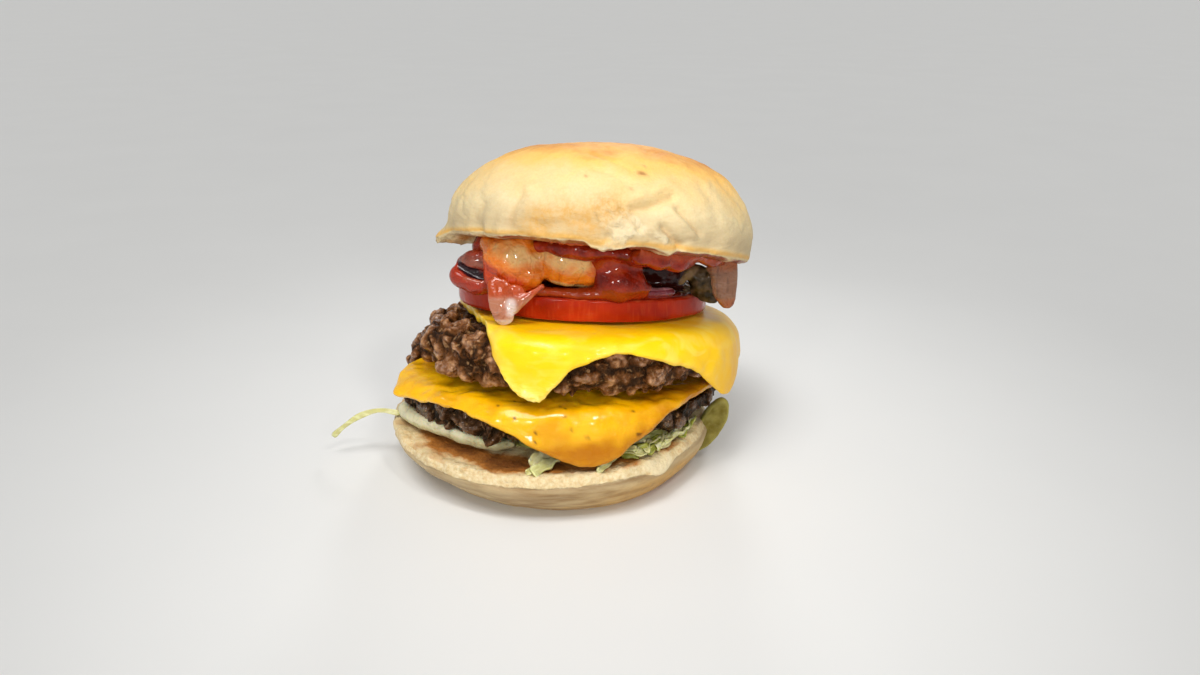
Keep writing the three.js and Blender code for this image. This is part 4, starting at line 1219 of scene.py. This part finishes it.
def lettuce():
    low, high = box_of("lettuce_bed")
    middle = (low + high) / 2
    core = solid_of("lettuce_bed", "Lettuce_core", levels=1, voxel=0.8, rounds=2)
    points = points_of(core.data)
    points[:, :2] = middle[:2] + (points[:, :2] - middle[:2]) * 0.93
    put_points(core.data, points)
    pushed(core.data, 0.8 * waves(points, 3.4, 92, octaves=2) - 0.5)
    paint(core.data, "green", 0.8 + 0.5 * waves(points, 6, 93))
    paint(core.data, "rim", 0)
    finish_piece(core, LETTUCE, "lettuce_bed")

    draw = np.random.default_rng(94)
    strips = []
    # Angle, spread and number of the shreds, and how far past the patty they reach.
    for angle, spread, count, out in (
        (-44, 13, 24, 47), (45, 40, 26, 43),
        (120, 40, 26, 43), (170, 20, 12, 43), (0, 30, 18, 43),
    ):
        for _ in range(count):
            a = math.radians(angle + draw.uniform(-spread, spread))
            reach = out + draw.uniform(-5, 1.5)
            heading = a + draw.choice((-1, 1)) * draw.uniform(0.5, 1.7)
            length = draw.uniform(9, 22)
            tip = np.array((middle[0] + reach * math.cos(a), middle[1] + reach * math.sin(a)))
            back = np.array((math.cos(heading), math.sin(heading)))
            path = []
            for t in (0, 0.33, 0.66, 1):
                x, y = tip - back * length * t + draw.uniform(-1.2, 1.2, 2)
                from_middle = np.hypot(x - middle[0], y - middle[1])
                if from_middle > reach:
                    x, y = middle[:2] + (np.array((x, y)) - middle[:2]) * reach / from_middle
                floor = height_of(HEEL_TOP, x, y) + 0.5
                roof = height_of(LOWER_PATTY_BOTTOM, x, y) - 0.4
                path.append((x, y, floor + (roof - floor) * draw.uniform(0.1, 0.95)))
            width, ruffle, twist = draw.uniform(1.2, 3.0), draw.uniform(0.3, 1.0), draw.uniform(-1.4, 1.4)
            shape = strip(path, width, 0.5, ruffle, twist, int(draw.integers(1 << 30)))
            strips.append((shape, draw.choice((0.1, 0.35, 0.7, 1.0), p=(0.25, 0.25, 0.25, 0.25))))
    # Four bits that have slid out under the lower cheese's corner: stops, width, and how green.
    for stops, width, green in (
        ([(1, -39, 18.6), (-2, -43, 18.4), (-4.6, -46, 17.6)], 3.6, 0.0),
        ([(3, -42, 17.6), (0, -46, 17.4), (-3.6, -50, 16.9)], 3.4, 0.35),
        ([(0, -43, 17.0), (-3, -47, 17.2), (-5.6, -49.4, 16.6)], 2.0, 0.1),
        ([(20, -41, 17.4), (17.6, -45, 17.2), (15.2, -48.4, 16.8)], 2.0, 0.3),
    ):
        strips.append((strip(stops, width, 0.8, 0.5, 0.8, int(10 * width)), green))
    finish_piece(joined_strips("Lettuce_shreds", strips), LETTUCE, "lettuce_bed")

    low, high = box_of("lettuce_shred_left")
    rise = high[2] - low[2]
    path = [
        (high[0], low[1] + 0.8, low[2] + 0.86 * rise),
        (high[0] - 7, low[1] + 1.6, high[2] - 0.8),
        (high[0] - 14, low[1] + 2.2, low[2] + 0.72 * rise),
        (high[0] - 20, low[1] + 2.6, low[2] + 0.34 * rise),
        (low[0] + 0.3, high[1] - 0.9, low[2] + 0.5),
    ]
    shred = joined_strips("Lettuce_shred_left", [(strip(path, 1.7, 0.6, 0.12, 0.9, 95), 0.1)])
    finish_piece(shred, LETTUCE, "lettuce_shred_left")


# ---------------------------------------------------------------- the whole burger

BREAD = bread_look()
LETTUCE = lettuce_look()
# Each onion look has its flesh, its pale part, its colour where sauced, which for the white onion is a
# painted shade, and its skin.
RED_ONION = onion_look(
    "Sauced_onion", tone(212, 112, 20), tone(214, 168, 104), tone(182, 56, 8), tone(40, 8, 18)
)
DARK_ONION = onion_look(
    "Folded_onion", tone(150, 84, 60), tone(188, 122, 104), tone(154, 42, 16), tone(40, 10, 20)
)
PINK_ONION = onion_look(
    "Pink_onion", tone(168, 108, 80), tone(206, 186, 178), tone(168, 66, 22), tone(112, 46, 40)
)
BROWN_ONION = onion_look(
    "Brown_onion", tone(132, 92, 68), tone(172, 138, 116), tone(152, 84, 40), tone(88, 54, 40)
)
PURPLE_ONION = onion_look(
    "Purple_onion", tone(116, 36, 48), tone(196, 130, 134), tone(140, 40, 20), tone(70, 14, 30)
)
# The white onion's colour in the sauce zone is a grey-green painted shade.
WHITE_ONION = onion_look(
    "White_onion", tone(204, 200, 154), tone(222, 216, 180), tone(132, 118, 72), tone(140, 132, 80), gloss=0.2
)

crown()
heel()
patty(
    "patty_upper", "Patty_upper",
    beef_look("Beef_upper", tone(194, 142, 96), tone(116, 70, 34), tone(40, 20, 7)),
    101, "cheese_upper",
    ridge=[(-36, -4, 43, 5), (-38.5, 0, 38, 5.5), (-42, 2.5, 33.6, 5), (-45.5, 4, 30, 3.6)],
)
# The lower patty's beef is a darker copy of the upper one's: a painted shade for the shade it lies in.
patty(
    "patty_lower", "Patty_lower",
    beef_look("Beef_lower", tone(108, 70, 34), tone(70, 41, 17), tone(20, 10, 3)),
    111, "cheese_lower",
)
cheese(
    "cheese_upper", "Cheese_upper",
    cheese_look("Cheese_upper", tone(255, 204, 8), tone(255, 234, 130), tone(240, 178, 4), wet=0.2),
    121, creased=0.35,
    melt=lambda p: step(p[:, 1], -30, -40) * step(p[:, 0], 48, 30) * step(p[:, 2], 50, 38),
    # Painted shade on the upper slice's right edge and close under the tomato at the front.
    dark=lambda p: 0.5 * step(p[:, 0], 48, 60) + 0.4 * step(p[:, 2], 56, 59) * step(p[:, 1], -30, -38),
    sag=lambda p: 3.0 * bell(p[:, 0], 0.5, 4.5) * step(p[:, 1], -34, -40),
)
cheese(
    "cheese_lower", "Cheese_lower",
    cheese_look("Cheese_lower", tone(240, 176, 2), tone(255, 204, 46), tone(178, 106, 0), wet=1.0),
    131, ripples=0.8, specks=26, corners=[((-1, -0.4, -0.3), 2.2)],
    melt=lambda p: 0.05 + nowhere(p),
    # Painted shade on the lower slice's front tip and on its right part.
    dark=lambda p: 0.95 * step(p[:, 2] - 0.12 * p[:, 0], 28, 20) * step(p[:, 1], -25, -36)
    + 0.9 * step(p[:, 0] + 0.4 * p[:, 1], 4, 22),
)
tomato()
front_onion()
left_onion()
hanging_onions()
onion(
    "onion_ring_right", "Onion_right", PURPLE_ONION, 144, swell=0.3,
    pale=lambda p: 1.2 * bell(p[:, 2] - height_of(TOMATO_TOP, p[:, 0], p[:, 1]), 3.0, 0.5),
)
onion(
    "onion_ring_back", "Onion_back", PINK_ONION, 145, voxel=0.7,
    sauced=lambda p: 0.35 + nowhere(p), skin=lambda p: 0.5 * step(waves(p, 6, 145), 0.1, 0.5),
)
onion(
    "onion_slice_lower", "Onion_lower", WHITE_ONION, 148, voxel=0.5, lumps=0.45, swell=0.1, taller=1.3,
    slot="white_onion",
    pale=lambda p: 0.8 * step(p[:, 2] - height_of(HEEL_TOP, p[:, 0], p[:, 1]), 2.2, 4.2)
    * step(p[:, 0], -14, -26),
    # Painted shade, deepening towards the right where the patty shades the slice.
    sauced=lambda p: 0.5 * step(p[:, 0], -26, -14),
)
sauce()
dark_pickle()
side_pickle()
lettuce()

# ---------------------------------------------------------------- floor, light and camera


def aimed(obj, place, target):
    obj.location = Vector(place) * MM
    obj.rotation_euler = (Vector(target) - Vector(place)).to_track_quat("-Z", "Y").to_euler()
    bpy.context.scene.collection.objects.link(obj)
    return obj


LIGHT_SPREAD = math.radians(60)
LIGHT_TARGET = (10, 0, 50)


def soft_light(name, place, size, watts, colour=(1, 1, 1)):
    lamp = bpy.data.lights.new(name, "AREA")
    lamp.size = size * MM
    lamp.energy = watts
    lamp.spread = LIGHT_SPREAD
    lamp.color = colour
    aimed(bpy.data.objects.new(name, lamp), place, LIGHT_TARGET)


FLOOR_SIDE = 12000.0
half = FLOOR_SIDE / 2
floor_corners = [(-half, -half, 0), (half, -half, 0), (half, half, 0), (-half, half, 0)]
floor = object_from("Floor", floor_corners, [(0, 1, 2, 3)])
floor_look = Look("Floor", Roughness=0.75)
mottle = floor_look.noise(60, detail=3, seed=99)
floor_look.give(Base_Color=floor_look.mix(mottle, tone(228, 228, 226), tone(232, 232, 230)))
floor.data.materials.append(floor_look.material)

# The room is lighter at its horizon, which is the far end of the floor, than overhead.
world = bpy.data.worlds.new("Pale_room")
world.use_nodes = True
sky = world.node_tree
rise = sky.nodes.new("ShaderNodeSeparateXYZ")
shade = sky.nodes.new("ShaderNodeMapRange")
sky.links.new(sky.nodes.new("ShaderNodeTexCoord").outputs["Generated"], rise.inputs[0])
sky.links.new(rise.outputs["Z"], shade.inputs["Value"])
for socket, value in (("From Min", 0.0), ("From Max", 0.35), ("To Min", 0.62), ("To Max", 0.3)):
    shade.inputs[socket].default_value = value
sky.links.new(shade.outputs["Result"], sky.nodes["Background"].inputs["Strength"])
sky.nodes["Background"].inputs["Color"].default_value = (1.0, 1.0, 1.0, 1.0)
bpy.context.scene.world = world
sun = bpy.data.lights.new("Sky_light", "SUN")
sun.energy = 1.5
sun.angle = math.radians(26)
aimed(bpy.data.objects.new("Sky_light", sun), (-90, -190, 400), (0, 0, 0))
soft_light("Key", (150, -280, 380), 50, 0.045, (1.0, 0.97, 0.92))
soft_light("Glint_high", (-20, -200, 420), 60, 0.03)
soft_light("Glint_left", (-120, -390, 150), 52, 0.034)
soft_light("Glint_right", (110, -400, 185), 52, 0.038)
soft_light("Rim", (60, 400, 300), 90, 0.05)
bpy.context.scene.view_settings.view_transform = "Standard"

# The camera stands in front and looks down a little, as a person who holds a phone at the table.
CAMERA_TARGET = (16.0, 0.0, 40.0)
CAMERA_DISTANCE = 320.0
CAMERA_RISE = math.radians(21)
CAMERA_LENS = 29.09
camera = bpy.data.cameras.new("Camera")
camera.sensor_width = 36.0
camera.lens = CAMERA_LENS
camera.clip_start = 0.01
camera.clip_end = 30.0
stand = Vector(CAMERA_TARGET) + CAMERA_DISTANCE * Vector((0, -math.cos(CAMERA_RISE), math.sin(CAMERA_RISE)))
bpy.context.scene.camera = aimed(bpy.data.objects.new("Camera", camera), stand, CAMERA_TARGET)
